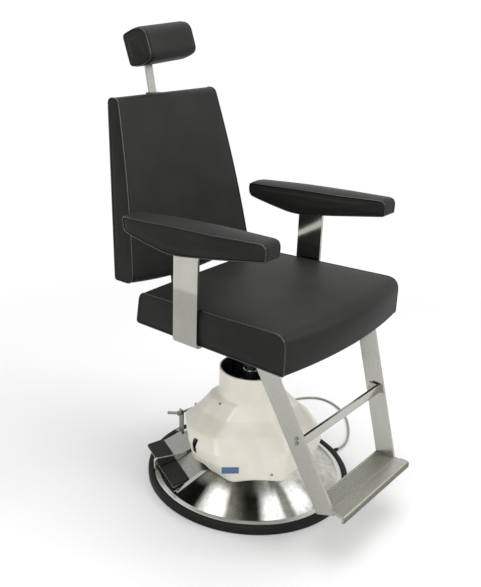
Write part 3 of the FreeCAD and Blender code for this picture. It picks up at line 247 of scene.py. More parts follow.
# %% [markdown]
# ## Finishes
# A finish starts from what the real thing is made of. Colours are written as sRGB
# hex values and turned to linear light by one function, and one small function adds
# a shader node with its settings and links.
# %% Node helpers
def to_linear(code):
    """sRGB hex to linear RGBA: c/12.92 below 0.04045, else ((c+0.055)/1.055)^2.4."""
    c = np.array([int(code[i:i + 2], 16) for i in (1, 3, 5)]) / 255
    return (*np.where(c <= 0.04045, c / 12.92, ((c + 0.055) / 1.055) ** 2.4).tolist(), 1.0)


def add(tree, kind, inputs=None, **settings):
    """Adds a node, sets its properties, and sets or links its input sockets by name or number.
    Of several sockets with one name it takes the one that is in use, as on a Mix node for colours."""
    new = tree.nodes.new(kind)
    for key, value in settings.items():
        setattr(new, key, value)
    for key, value in (inputs or {}).items():
        socket = new.inputs[key] if isinstance(key, int) else next(
            s for s in new.inputs if s.name == key and s.enabled)
        if isinstance(value, bpy.types.NodeSocket):
            tree.links.new(value, socket)
        else:
            socket.default_value = value
    return new


def ramp(tree, factor, stops, interpolation="LINEAR"):
    """A colour ramp whose stops are (place, hex colour) pairs."""
    new = add(tree, "ShaderNodeValToRGB", {"Fac": factor})
    line = new.color_ramp
    line.interpolation = interpolation
    while len(line.elements) < len(stops):
        line.elements.new(0.5)
    for element, (position, colour) in zip(line.elements, stops):
        element.position = position
        element.color = to_linear(colour)
    return new


def finish(name, colour, roughness, **shader):
    """A new material: its name, tree, shader node and a socket with object coordinates in metres."""
    surface = bpy.data.materials.new(name)
    surface.use_nodes = True
    tree = surface.node_tree
    principled = tree.nodes["Principled BSDF"]
    principled.inputs["Base Color"].default_value = to_linear(colour)
    principled.inputs["Roughness"].default_value = roughness
    for key, value in shader.items():
        principled.inputs[key.replace("_", " ")].default_value = value
    where = add(tree, "ShaderNodeTexCoord").outputs["Object"]
    return surface, tree, principled, where


def mix_colours(tree, factor, first, second, blend="MIX"):
    """A Mix node for colours: the socket with (1 - f) A + f B, or with A times B for MULTIPLY and f = 1."""
    node = add(tree, "ShaderNodeMix", {"Factor": factor, "A": first, "B": second},
               data_type="RGBA", blend_type=blend)
    return next(socket for socket in node.outputs if socket.enabled)


def map_range(tree, value, start, end, **settings):
    """(value - start) / (end - start), held between 0 and 1."""
    node = add(tree, "ShaderNodeMapRange", {"Value": value, "From Min": start, "From Max": end}, **settings)
    return node.outputs["Result"]


def split(tree, where):
    """Sockets for x, y and z, and for the distance from the chair's axis, sqrt(x^2 + y^2), in metres."""
    parts = add(tree, "ShaderNodeSeparateXYZ", {0: where}).outputs
    flat = add(tree, "ShaderNodeCombineXYZ", {"X": parts["X"], "Y": parts["Y"]})
    reach = add(tree, "ShaderNodeVectorMath", {0: flat.outputs[0]}, operation="LENGTH")
    return parts["X"], parts["Y"], parts["Z"], reach.outputs["Value"]


def reopened(surface):
    """A made material's tree and shader, the socket that colours it, and its split coordinates."""
    tree = surface.node_tree
    shade = tree.nodes["Principled BSDF"]
    colour = shade.inputs["Base Color"].links[0].from_socket
    return tree, shade, colour, split(tree, add(tree, "ShaderNodeTexCoord").outputs["Object"])


def toned(surface, axis, start, end, tone):
    """Multiplies the colour by `tone` up to `start` metres along an axis, and by white from `end` on."""
    tree, shade, colour, spot = reopened(surface)
    share = map_range(tree, spot["XYZ".index(axis)], start, end)
    shades = ramp(tree, share, ((0.0, tone), (1.0, "#ffffff"))).outputs["Color"]
    tree.links.new(mix_colours(tree, 1.0, colour, shades, "MULTIPLY"), shade.inputs["Base Color"])


def bump(tree, principled, height, distance, strength=1.0):
    """Tilts the surface by a height pattern; distance is its depth in mm."""
    node = add(tree, "ShaderNodeBump", {"Height": height, "Distance": distance * MM, "Strength": strength})
    tree.links.new(node.outputs["Normal"], principled.inputs["Normal"])


print("white is", [round(c, 3) for c in to_linear("#ffffff")])

# %% [markdown]
# ### Upholstery vinyl
# The covers are black expanded vinyl with an embossed leather grain. The pebbles of
# the grain are about 2 mm across. The film is slightly glossy where it is rubbed, so
# the roughness wanders over a hand's breadth. The welts are a glossier piping, and
# their darker colour is painted shade of the seam's groove.
# %% Black grained vinyl
GRAIN = 2.2            # mm across one pebble


def vinyl(name, colour, dark, specular=0.09, glossy=0.42, dull=0.54):
    """Grained vinyl whose roughness wanders between `glossy` and `dull`."""
    surface, tree, shade, where = finish(name, colour, 0.5)
    shade.inputs["Specular IOR Level"].default_value = specular
    pebble = add(tree, "ShaderNodeTexVoronoi", {"Vector": where, "Scale": 1 / (GRAIN * MM)},
                 feature="DISTANCE_TO_EDGE")
    fine = add(tree, "ShaderNodeTexNoise", {"Vector": where, "Scale": 700.0, "Detail": 3.0})
    height = add(tree, "ShaderNodeMath", {0: pebble.outputs["Distance"], 1: fine.outputs["Fac"]},
                 operation="ADD")
    bump(tree, shade, height.outputs[0], 0.12, 0.35)
    worn = add(tree, "ShaderNodeTexNoise", {"Vector": where, "Scale": 9.0, "Detail": 4.0})
    colours = ramp(tree, worn.outputs["Fac"], ((0.3, dark), (0.7, colour)))
    tree.links.new(colours.outputs["Color"], shade.inputs["Base Color"])
    gloss = add(tree, "ShaderNodeMapRange", {"Value": worn.outputs["Fac"], "To Min": glossy, "To Max": dull})
    tree.links.new(gloss.outputs["Result"], shade.inputs["Roughness"])
    return surface


black_vinyl = vinyl("black_grained_vinyl", "#282826", "#212120")
# The welts are darker than the covers as painted shade of the seam's groove; their gloss is real.
welt_vinyl_groove_shade = vinyl("black_welt_vinyl", "#121211", "#0d0d0c", 0.6, 0.2, 0.3)
print("grain scale", round(1 / (GRAIN * MM)))

# %% [markdown]
# ### Moulded shell, rubber, plastic and cord
# The shroud is a cream moulded shell with a faint ripple from the mould. Inside its
# neck, nearer to the axis than the shell's wall, shade is painted in as a near-black
# colour. The bumper is matt carbon-black rubber. The cord has a grey jacket with a
# soft shine.
# %% Shell, rubber, plastic, cord
def mottled(name, light, dark, roughness, patch, ripple, depth, **shader):
    """A colour that wanders between two hex values over patches of `patch` mm, with ripples
    `ripple` mm wide and `depth` mm deep."""
    surface, tree, shade, where = finish(name, light, roughness, **shader)
    wander = add(tree, "ShaderNodeTexNoise", {"Vector": where, "Scale": 1 / (patch * MM), "Detail": 3.0})
    colours = ramp(tree, wander.outputs["Fac"], ((0.3, dark), (0.7, light)))
    tree.links.new(colours.outputs["Color"], shade.inputs["Base Color"])
    waves = add(tree, "ShaderNodeTexNoise", {"Vector": where, "Scale": 1 / (ripple * MM), "Detail": 2.0})
    bump(tree, shade, waves.outputs["Fac"], depth, 0.4)
    return surface


NECK_SHADE_R = 82.8         # mm from the axis inside which the neck's inner face is painted near-black, as shade
cream_shell = mottled("cream_moulded_shell", "#ece9dd", "#e4e0d1", 0.32, 60.0, 9.0, 0.25)
tree, shade, cream, spot = reopened(cream_shell)
# Nearer the axis than this radius the cream turns near-black: painted shade inside the neck.
inside = add(tree, "ShaderNodeMath", {0: spot[3], 1: NECK_SHADE_R * MM}, operation="LESS_THAN")
tree.links.new(mix_colours(tree, inside.outputs[0], cream, to_linear("#1c1c1b")), shade.inputs["Base Color"])
bumper_rubber = mottled("carbon_black_rubber", "#171715", "#111110", 0.6, 25.0, 1.5, 0.1,
                        Specular_IOR_Level=0.2)
pedal_rubber = mottled("ribbed_pedal_rubber", "#262520", "#1f1e1a", 0.72, 12.0, 1.2, 0.15,
                       Specular_IOR_Level=0.2)
black_plastic = mottled("black_moulded_plastic", "#1d1d1d", "#161616", 0.42, 20.0, 1.5, 0.05)
cord_jacket = mottled("grey_cord_jacket", "#8f9187", "#83857a", 0.45, 15.0, 2.0, 0.05)
badge_metal = mottled("painted_bare_badge", "#4f6f96", "#466589", 0.4, 8.0, 1.0, 0.05)
plywood = mottled("birch_plywood", "#b58e5f", "#a37c4f", 0.65, 6.0, 2.0, 0.1)
machine_paint = mottled("grey_machine_paint", "#6d7272", "#636868", 0.5, 30.0, 2.0, 0.08)
black_enamel = mottled("black_stove_enamel", "#161616", "#101010", 0.35, 30.0, 2.0, 0.05)
print("plain finishes made")

# %% [markdown]
# ### Metals
# Polished flat bar shows long faint scratches along the bar. Metal keeps its own
# index of refraction; only colour, roughness and a little bump make the finish. The
# posts get a greyer lower part and the footrest's step a darker front edge.
# %% Metals
def metal(name, light, dark, smooth, rough, stretch, depth=0.03):
    """Bare metal with scratches: noise squeezed by `stretch` (x, y, z cycles per metre)."""
    surface, tree, shade, where = finish(name, light, smooth, Metallic=1.0)
    squeezed = add(tree, "ShaderNodeVectorMath", {0: where, 1: stretch}, operation="MULTIPLY")
    scratch = add(tree, "ShaderNodeTexNoise", {"Vector": squeezed.outputs[0], "Scale": 1.0, "Detail": 4.0})
    colours = ramp(tree, scratch.outputs["Fac"], ((0.3, dark), (0.7, light)))
    tree.links.new(colours.outputs["Color"], shade.inputs["Base Color"])
    gloss = add(tree, "ShaderNodeMapRange",
                {"Value": scratch.outputs["Fac"], "To Min": smooth, "To Max": rough})
    tree.links.new(gloss.outputs["Result"], shade.inputs["Roughness"])
    bump(tree, shade, scratch.outputs["Fac"], depth, 0.3)
    return surface


polished_steel = metal("polished_steel_bar", "#b9b9b2", "#a5a59e", 0.14, 0.26, (900, 900, 30))
mirror_steel = metal("mirror_polished_post", "#c2c1b9", "#b4b3ab", 0.06, 0.13, (14, 14, 9), 0.6)
toned(mirror_steel, "Z", 0.625, 0.635, "#dedede")
stalk_steel = metal("dull_polished_stalk", "#abaaa3", "#9c9b94", 0.2, 0.3, (900, 900, 30))
chrome = metal("hard_chrome", "#c9cacb", "#bcbdbe", 0.06, 0.12, (60, 60, 200), 0.01)
zinc_steel = metal("zinc_plated_steel", "#9a9b98", "#85867f", 0.25, 0.4, (200, 200, 200))
cast_iron = metal("dark_cast_iron", "#4b4c4b", "#3c3d3c", 0.5, 0.65, (150, 150, 150), 0.2)
step_aluminium = metal("extruded_step_aluminium", "#b4b4ab", "#98988f", 0.32, 0.45, (350, 350, 350), 0.1)
toned(step_aluminium, "Y", -0.4025, -0.399, "#96968f")
base_casting = metal("machined_base_casting", "#a3a39b", "#84847d", 0.4, 0.55, (120, 120, 120), 0.1)
ram_steel = metal("ground_ram_steel", "#c9cacb", "#bcbdbe", 0.22, 0.3, (60, 60, 200), 0.01)
bronze = metal("sintered_bronze", "#8f6a3c", "#7c5a31", 0.35, 0.5, (250, 250, 250))
print("metals made")

# %% [markdown]
# ## The power cord
# The cord is one smooth NURBS line through the same route as the solid model's tube.
# It ends in a neat coil behind the chair: more points of the same line, a turn after
# a turn, laid beside and on each other.
# %% Cord
CORD_R = 3.5
BASE_R = 283.0
RELIEF_AZ, RELIEF_DIR, RELIEF_OUT = math.radians(-27.5), math.radians(-8.0), 24.0
RELIEF_Z = 9.0
relief_exit = np.array([BASE_R * math.cos(RELIEF_AZ), BASE_R * math.sin(RELIEF_AZ), RELIEF_Z])
relief_way = np.array([math.cos(RELIEF_DIR), math.sin(RELIEF_DIR), 0.0])
cord_start = relief_exit + RELIEF_OUT * relief_way
ROUTE = (
    (303.0, -137.5, 6.0), (345.0, -127.0, 4.0), (387.0, -108.0, 4.0), (426.0, -84.0, 4.0),
    (467.0, -53.0, 4.0), (503.0, -9.0, 4.0), (523.0, 40.0, 4.0), (521.0, 83.0, 4.0),
    (495.0, 115.0, 4.0), (456.0, 139.0, 4.0), (415.0, 160.0, 4.0), (376.0, 186.0, 4.0),
    (348.0, 219.0, 4.0), (338.5, 255.0, 4.0), (338.5, 285.0, 4.0),
)
COIL_CENTRE = (382.0, 285.0)
TURNS, PER_TURN = 6, 16
OUTER, INNER = 43.5, 36.6


def coil_points():
    """Turns at two radii on three layers: radius and height change over a sixth of a turn."""
    k = np.arange(1, TURNS * PER_TURN + 1)
    share = k / PER_TURN
    whole = np.floor(share)
    ease = np.clip((share - whole) * 6, 0, 1)
    number = whole - 1 + ease
    radii = np.array([OUTER, OUTER, INNER, INNER, OUTER, OUTER, INNER, INNER])
    layers = np.array([4.0, 4.0, 4.0, 11.0, 11.0, 18.0, 18.0, 18.0])
    index = np.arange(len(radii)) - 1
    radius, height = np.interp(number, index, radii), np.interp(number, index, layers)
    angle = math.pi - 2 * math.pi * share
    return np.stack([COIL_CENTRE[0] + radius * np.cos(angle),
                     COIL_CENTRE[1] + radius * np.sin(angle), height], -1)


cord_line = np.vstack([cord_start, ROUTE, coil_points()])
curve = bpy.data.curves.new("power_cord_line", "CURVE")
curve.dimensions = "3D"
curve.bevel_depth = 1.0            # the points' own radius gives the thickness
curve.bevel_resolution = 4
curve.use_fill_caps = True
curve.resolution_u = 6
line = curve.splines.new("NURBS")
line.points.add(len(cord_line) - 1)
line.points.foreach_set("co", np.hstack([metres(cord_line), np.ones((len(cord_line), 1))]).ravel())
line.points.foreach_set("radius", np.full(len(cord_line), CORD_R * MM))
line.order_u = 3
line.use_endpoint_u = True
mains_cord = bpy.data.objects.new("mains_cord", curve)
bpy.context.scene.collection.objects.link(mains_cord)
place(mains_cord, "base", cord_jacket, "power_cord", "power_cord_coil", slot="cord_grey")
samples = through(cord_line, 4000, closed=False)
cord_length = np.linalg.norm(np.diff(samples, axis=0), axis=1).sum() * MM
print("cord", round(cord_length, 3), "m")

# %% [markdown]
# ### Strain relief and plug
# The strain relief is a tapered rubber sleeve with grooves. The plug is a moulded
# lozenge with two blades and an earth pin, and it moves with the cord's free end.
# %% Strain relief and plug
def sleeve(name, start, way, stations):
    """A turned sleeve along `way`: stations are (distance, radius) pairs."""
    start, way = np.asarray(start, float), np.asarray(way, float)
    distance, radius = np.asarray(stations, float).T
    return tube(name, start + distance[:, None] * way, radius, sides=32)


GROOVES = 5
groove_at = np.linspace(4, RELIEF_OUT - 3, GROOVES * 6)
taper = np.interp(groove_at, (0, RELIEF_OUT), (7.0, CORD_R + 1.2))
dips = 0.8 * (np.sin(np.linspace(0, GROOVES * 2 * math.pi, len(groove_at))) > 0.3)
sections = [(-16, 7.0), (0, 7.0), (2, 6.9)] + list(zip(groove_at, taper - dips))
relief = sleeve("cord_strain_relief", relief_exit, relief_way, sections + [(RELIEF_OUT, CORD_R + 0.9)])
place(relief, "base", bumper_rubber, "strain_relief", slot="rubber")

PLUG_AZ = math.radians(35.0)
plug_way = np.array([math.cos(PLUG_AZ), math.sin(PLUG_AZ), 0.0])
plug_side = np.array([-math.sin(PLUG_AZ), math.cos(PLUG_AZ), 0.0])
PLUG_Z, PLUG_FROM_COIL = 9.5, 44.5
BLADE_APART, PIN_BELOW = 6.3, 5.0
plug_start = np.array([*COIL_CENTRE, PLUG_Z]) + PLUG_FROM_COIL * plug_way


def lozenge(start, way, side, stations, power=4.0, count=40):
    """Sections across `way`: each station is (distance, half width, half height) of a superellipse."""
    section = superellipse(power, count)
    s = np.asarray(stations, float)
    over = np.cross(way, side)
    return (np.asarray(start) + s[:, 0, None, None] * way + (s[:, 1, None] * section[:, 0])[..., None] * side
            + (s[:, 2, None] * section[:, 1])[..., None] * over)


plug = skin("moulded_plug", lozenge(plug_start, plug_way, plug_side, [
    (0, 4.4, 4.4), (6, 5.0, 5.0), (7, 4.4, 4.4), (9, 4.4, 4.4), (10, 5.6, 5.4), (13, 5.8, 5.6),
    (14, 5.0, 5.0), (16, 5.0, 5.0), (17, 6.2, 6.0), (24, 7.0, 6.6), (27, 9.5, 7.6), (34, 12.4, 8.6),
    (44, 12.9, 8.8),
    (58, 12.6, 8.8), (68, 12.9, 8.8), (71, 12.4, 8.4), (71.8, 11, 7.4)]))
place(plug, "base", black_plastic, "power_plug", slot="black_plastic")
blades = []
for offset in (-BLADE_APART, BLADE_APART):
    blades.append(skin("plug_blade", lozenge(plug_start + offset * plug_side, plug_way, plug_side, [
        (70, 0.8, 3.2), (83, 0.8, 3.2), (86, 0.8, 2.4), (87, 0.5, 1.4)], 6.0, 24)))
blades.append(skin("plug_earth_pin", lozenge(plug_start - (0, 0, PIN_BELOW), plug_way, plug_side, [
    (70, 2.4, 2.4), (86, 2.4, 2.4), (88, 1.6, 1.6), (89, 0.6, 0.6)], 2.0, 24)))
for blade in blades:
    place(blade, "base", zinc_steel, slot="zinc_steel")
print("plug at", plug_start.round(1))

# %% [markdown]
# ## Upholstered pads
# Every pad on the chair is sewn in the same way: two side panels cut to the pad's
# outline, and one strip of vinyl that wraps round from panel to panel. So one
# function makes them all. It works in (x, y, z) with the outline in the y-z plane;
# afterwards each pad is bowed, tapered or crowned by its own small function.
# %% The pad function
def softened(corners, cuts, count=14):
    """A closed line through straight sides whose corner B becomes the curve
    (1-t)^2 A + 2t(1-t) B + t^2 C, with A and C on the sides `cut` mm from B."""
    corners = np.asarray(corners, float)
    cuts = np.asarray(cuts, float)[:, None]
    before, after = np.roll(corners, 1, 0) - corners, np.roll(corners, -1, 0) - corners
    a = corners + before / np.linalg.norm(before, axis=1)[:, None] * cuts
    c = corners + after / np.linalg.norm(after, axis=1)[:, None] * cuts
    t = np.linspace(0, 1, count)[None, :, None]
    arcs = (1 - t) ** 2 * a[:, None] + 2 * t * (1 - t) * corners[:, None] + t ** 2 * c[:, None]
    return arcs.reshape(-1, 2)


def anticlockwise(line):
    """The line turned so that its area, half the sum of x_i y_(i+1) - x_(i+1) y_i, is positive."""
    area = (line[:, 0] * np.roll(line[:, 1], -1) - np.roll(line[:, 0], -1) * line[:, 1]).sum()
    return line if area > 0 else line[::-1]


PANEL_SHARES = np.array([0.05, 0.25, 0.45, 0.62, 0.76, 0.86, 0.93, 0.975])
ARC_POINTS = 7
SEAM_RING = len(PANEL_SHARES) + ARC_POINTS // 2      # the ring half way round the edge


def boxed_pad(outline, half, edge, panel_rise, across=36):
    """Rings from one side panel to the other: inset outline, quarter circle of radius `edge`,
    straight strip, quarter circle, inset outline. half(p) is half the width at p."""
    normal = plan_normals(outline)
    middle = outline.mean(0)
    rim = outline - normal * edge
    arc = np.linspace(0, math.pi / 2, ARC_POINTS)
    rings = []
    for share in PANEL_SHARES:
        here = middle + (rim - middle) * share
        rise = panel_rise * math.sin(math.pi / 2 * min(1, 2.2 * (1 - share))) ** 2
        rings.append(np.column_stack([-half(here) - rise, here]))
    for a in arc:
        here = outline - normal * edge * (1 - math.sin(a))
        rings.append(np.column_stack([-half(outline) + edge * (1 - math.cos(a)), here]))
    wide = half(outline) - edge
    for t in np.linspace(-1, 0, across // 2 + 1)[1:]:
        rings.append(np.column_stack([wide * t, outline]))
    left = np.array(rings)
    mirror = left[::-1][1:] * (-1, 1, 1)
    return np.vstack([left, mirror])


def welts(name, rings, deform, on, radius=2.2, proud=1.2):
    """Piping sewn into both edges: a thin roll along the ring half way round each edge."""
    for number, row, outwards in ((1, SEAM_RING, -proud), (2, len(rings) - 1 - SEAM_RING, proud)):
        ring = rings[row]
        inner = ring[:, 1:]
        path = np.column_stack([ring[:, 0] + outwards, inner + plan_normals(inner) * proud])
        roll = tube(f"{name}_welt_{number}", deform(path), radius, closed=True, up=(1.0, 0.0, 0.0))
        place(roll, on, welt_vinyl_groove_shade, slot="black_vinyl")


print("seam ring", SEAM_RING)

# %% [markdown]
# ### Seat cushion
# The side panel of the seat is a rectangle with a large roll at the front. The front
# edge bows forward in plan, the cushion widens a little, and the top is crowned, so
# the strip that wraps over it is nowhere flat except below, where it rests.
# %% Seat cushion
SEAT_Z = 495.0
SEAT_REAR, SEAT_FRONT, SEAT_BOW = 178.0, -275.0, 24.0
SEAT_HALF_REAR, SEAT_HALF_FRONT = 256.0, 260.0
SEAT_TOP_REAR, SEAT_TOP_FRONT = 582.0, 594.0
SEAT_CROWN = 11.0
BELLY, BELLY_HIGH, BELLY_BAND = 4.0, 92.0, 40.0      # how far, how high and how deep the front swells


def seat_half(p):
    """Half the width at each (y, z), which changes evenly from front to rear."""
    return np.interp(p[:, 0], (SEAT_FRONT, SEAT_REAR), (SEAT_HALF_FRONT, SEAT_HALF_REAR))


def seat_form(points):
    """y less bow . (1 - u^2) . s, and z plus crown . (1 - u^4) . (1 - w^4) . h, with u, w from -1 to 1
    over the plan, s from 0 at the rear to 1 at the front and h the share of the height."""
    x, y, z = np.moveaxis(points, -1, 0)
    u = np.clip(np.abs(x) / seat_half(np.stack([y.ravel(), z.ravel()], -1)).reshape(y.shape), 0, 1)
    s = np.clip((SEAT_REAR - y) / (SEAT_REAR - SEAT_FRONT), 0, 1)
    w = np.abs(2 * s - 1)
    h = np.clip((z - SEAT_Z) / (SEAT_TOP_REAR - SEAT_Z), 0, 1) ** 2
    rise = SEAT_CROWN * (1 - u ** 4) * (1 - w ** 4) * h
    belly = BELLY * np.sin(math.pi * np.clip((z - SEAT_Z) / BELLY_HIGH, 0, 1)) * (1 - u ** 4)
    belly = belly * np.where(y < SEAT_FRONT + BELLY_BAND, 1, 0)
    return np.stack([x, y - SEAT_BOW * (1 - u ** 2) * s - belly, z + rise], -1)


side_panel = softened([(SEAT_REAR + 8, SEAT_Z), (SEAT_REAR - 4, SEAT_TOP_REAR), (SEAT_FRONT, SEAT_TOP_FRONT),
                       (SEAT_FRONT, SEAT_Z)], [10, 22, 34, 9])
side_panel = gathered(anticlockwise(side_panel), 220, 30.0)
seat_rings = boxed_pad(side_panel, seat_half, 7.0, 3.0)
seat_cushion = skin("upholstered_seat", seat_form(seat_rings))
place(seat_cushion, "chair", black_vinyl, "seat_cushion", slot="black_vinyl")
welts("seat", seat_rings, seat_form, "chair")
print("seat faces", len(seat_cushion.data.polygons))

# %% [markdown]
# ### Back cushion
# The side panel of the back tapers from bottom to top and ends in a round nose, over
# which the front panel rolls to the rear. The front leans back and is slightly hollow
# along its height, and the lower edge hangs in a shallow arc.
# %% Back cushion
BACK_LOW, BACK_TOP, BACK_SAG = 590.0, 1052.0, 22.0
BACK_HALF_LOW, BACK_HALF_TOP = 248.0, 193.5
BACK_FRONT, BACK_REAR_LOW, BACK_REAR_TOP = 205.0, 273.0, 345.0
BACK_LEAN, BACK_HOLLOW, BACK_CROWN = 103.0, 8.0, 8.0
BACK_MARKS = 24


def up_the_back(z):
    """t = (z - low) / (top - low), held between 0 and 1."""
    return np.clip((z - BACK_LOW) / (BACK_TOP - BACK_LOW), 0, 1)


def back_front(t):
    """y of the front line: front + lean . t - hollow . sin(pi t)."""
    return BACK_FRONT + BACK_LEAN * t - BACK_HOLLOW * np.sin(math.pi * t)


def back_rear(t):
    """y of the rear line, straight from the low end to the top."""
    return BACK_REAR_LOW + (BACK_REAR_TOP - BACK_REAR_LOW) * t


def back_half(p):
    """Half the width at each (y, z), which changes evenly with t."""
    return BACK_HALF_LOW + (BACK_HALF_TOP - BACK_HALF_LOW) * up_the_back(p[:, 1])


def back_form(points):
    """y less crown . (1 - u^4) . sin(pi t) on the front, z less sag . (1 - u^2) . (1 - t)^2."""
    x, y, z = np.moveaxis(points, -1, 0)
    t = up_the_back(z)
    u = np.clip(np.abs(x) / (BACK_HALF_LOW + (BACK_HALF_TOP - BACK_HALF_LOW) * t), 0, 1)
    share = np.clip((back_rear(t) - y) / (back_rear(t) - back_front(t)), 0, 1)
    ease = np.clip(4 * t * (1 - t) * 1.6, 0, 1) ** 0.7
    return np.stack([x, y - BACK_CROWN * (1 - u ** 4) * ease * share,
                     z - BACK_SAG * (1 - u ** 2) * (1 - t) ** 2], -1)


t = np.linspace(0.1, 0.94, BACK_MARKS)
height = BACK_LOW + (BACK_TOP - BACK_LOW) * t
front_line = np.stack([back_front(t), height], -1)
rear_line = np.stack([back_rear(t), height], -1)
nose = [(BACK_FRONT + BACK_LEAN, BACK_TOP), (BACK_REAR_TOP, BACK_TOP)]
marks = np.vstack([[(BACK_FRONT + 1, BACK_LOW)], front_line, nose, rear_line[::-1],
                   [(BACK_REAR_LOW, BACK_LOW)]])
cuts = np.concatenate([[26], np.full(BACK_MARKS, 4.0), [17, 17], np.full(BACK_MARKS, 4.0), [8]])
side_panel = gathered(anticlockwise(softened(marks, cuts, 8)), 220, 30.0)
back_rings = boxed_pad(side_panel, back_half, 6.0, 3.0)
back_pad = skin("upholstered_back", back_form(back_rings))
place(back_pad, "back", black_vinyl, "back_cushion", slot="black_vinyl")
welts("back", back_rings, back_form, "back", radius=1.9)
print("back faces", len(back_pad.data.polygons))

# %% [markdown]
# ### Arm pads
# An arm pad is cut to a long drop shape. It is blunt at the rear, deepest over the
# post and slim at the nose, over which the top panel rolls. In plan it narrows to
# the nose and rounds off at the rear.
# %% Arm pads
ARM_X = 259.3
ARM_SIDE = ((-229, 757), (-231, 795), (-60, 794), (60, 791), (203, 783), (200, 749), (34, 719))
ARM_CUTS = (6, 20, 60, 50, 16, 16, 42)
ARM_HALF, ARM_CROWN, CROWN_FROM_Z, CROWN_OVER = 39.0, 5.0, 765.0, 20.0


def arm_half(p):
    """Half the width at each (y, z), read off a line of (y, half width) marks."""
    return np.interp(p[:, 0], (-231, -90, 110, 165, 190, 203), (27, ARM_HALF, ARM_HALF, 36, 32, 27))


def arm_form(points):
    """z plus crown . (1 - u^2) over the top panel."""
    x, y, z = np.moveaxis(points, -1, 0)
    u = np.clip(np.abs(x) / ARM_HALF, 0, 1)
    return np.stack([x, y, z + ARM_CROWN * (1 - u ** 2) * np.clip((z - CROWN_FROM_Z) / CROWN_OVER, 0, 1)], -1)


arm_outline = gathered(anticlockwise(softened(ARM_SIDE, ARM_CUTS)), 200, 25.0)
arm_rings = boxed_pad(arm_outline, arm_half, 9.0, 3.5, across=20)
for side, hand in ((1, "left"), (-1, "right")):
    def on_the_arm(points, side=side):
        """The crowned pad, moved over its post: x plus or minus ARM_X."""
        return arm_form(points) + (side * ARM_X, 0, 0)

    pad = skin(f"arm_pad_upholstered_{hand}", on_the_arm(arm_rings))
    place(pad, "chair", black_vinyl, f"arm_pad_{hand}", slot="black_vinyl")
    welts(f"arm_{hand}", arm_rings, on_the_arm, "chair", radius=1.9)
print("arm pad faces", len(pad.data.polygons))

# %% [markdown]
# ### Headrest
# The headrest is a short bolster: two rounded end panels and a wrap that runs round
# them. It leans back with the stalk, and stands a little out of level.
# %% Headrest
TILT_Z, REST_LEAN, REST_HALF, STANDOFF = 1160.0, math.radians(16.5), 93.0, 13.5
STALK_LEAN = math.radians(12.0)
REST_SIDE = ((0, -37), (0, 51), (45, 56), (88, 49), (88, -38), (45, -45))
REST_CUTS = (14, 14, 10, 31, 22, 14)
REST_ROLL = math.radians(4.0)


def stalk_y(z):
    """y of the leaning stalk: 372 + (z - 1051) tan(lean)."""
    return 372.0 + (z - 1051.0) * math.tan(STALK_LEAN)


def rest_form(points):
    """(x, out, up) to the chair: rolled about `out`, x' = x cos r - up sin r, up' = x sin r + up cos r,
    then out from the pad's rear face and up from the hinge, leaned back."""
    x, out, up = np.moveaxis(points, -1, 0)
    c, s = math.cos(REST_ROLL), math.sin(REST_ROLL)
    x, up = x * c - up * s, x * s + up * c
    y = stalk_y(TILT_Z) - STANDOFF - out * math.cos(REST_LEAN) + up * math.sin(REST_LEAN)
    z = TILT_Z + out * math.sin(REST_LEAN) + up * math.cos(REST_LEAN)
    return np.stack([x, y, z], -1)


rest_outline = gathered(anticlockwise(softened(REST_SIDE, REST_CUTS)), 180, 20.0)
rest_rings = boxed_pad(rest_outline, lambda p: np.full(len(p), REST_HALF), 17.0, 5.0, across=24)
headrest = skin("upholstered_headrest", rest_form(rest_rings))
place(headrest, "headrest", black_vinyl, "headrest_pad", slot="black_vinyl")
welts("headrest", rest_rings, rest_form, "headrest", radius=1.7)
print("headrest faces", len(headrest.data.polygons))

# %% [markdown]
# ## The moulded shroud
# The shroud is a soft-edged, eight-sided bell that closes to a round neck. At each
# height eight flat sides stand at given distances from the axis, and a power mean
# rounds the corners between them. It is made in two halves that meet at a seam.
# %% Shroud
LEVELS = np.array([82.0, 118.0, 150.0, 184.0, 218.0, 258.0, 268.0])
SUPPORTS = np.array([
    (168, 180, 156, 156, 160, 160, 163, 188), (178, 196, 156, 166, 178, 154, 163, 206),
    (176, 190, 156, 174, 182, 148, 164, 199), (158, 168, 146, 179, 166, 124, 140, 174),
    (116, 132, 116, 138, 120, 93, 100, 142), (89, 94, 90, 107, 92, 80, 84, 97),
    (60, 60, 60, 60, 60, 60, 60, 60)], float)
NECK_R, NECK_Z, SHELL_T = 86.0, 338.0, 4.0
SEAM_AZ = 165.0
PEDAL_AZ = 153.5
FOOT_Z, ARCH_Z, ARCH_MIDDLE, ARCH_HALF = 82.0, 96.0, -50.0, 118.0
LEVEL_Z = 118.0                     # from here up the rows of points are level
SLOT_LOW, SLOT_HIGH = 126.0, 168.0  # the slot in the seam
FOOT_ROWS, LEVEL_ROWS = 14, 58
BELL_POWER, NECK_POWER = 32, 34
CONE_R, CONE_Z, CONE_SLOPE = 254.5, 21.5, 0.6117


def shroud_radius(azimuth, z):
    """(sum of (cos(a - a_i) / d_i)^p over the sides that face a)^(-1/p), then a soft maximum with the
    neck, (r^q + neck^q)^(1/q)."""
    sides = np.stack([np.interp(z, LEVELS, SUPPORTS[:, i]) for i in range(8)], -1)
    toward = np.cos(np.radians(azimuth[..., None] - 45.0 * np.arange(8)))
    bell = (np.clip(toward, 0, None) / sides) ** BELL_POWER
    radius = bell.sum(-1) ** (-1 / BELL_POWER)
    return (radius ** NECK_POWER + NECK_R ** NECK_POWER) ** (1 / NECK_POWER)


def cone_height(r):
    """Height of the spun cover at distance r: z = z0 + (r0 - r) . slope."""
    return CONE_Z + (CONE_R - r) * CONE_SLOPE


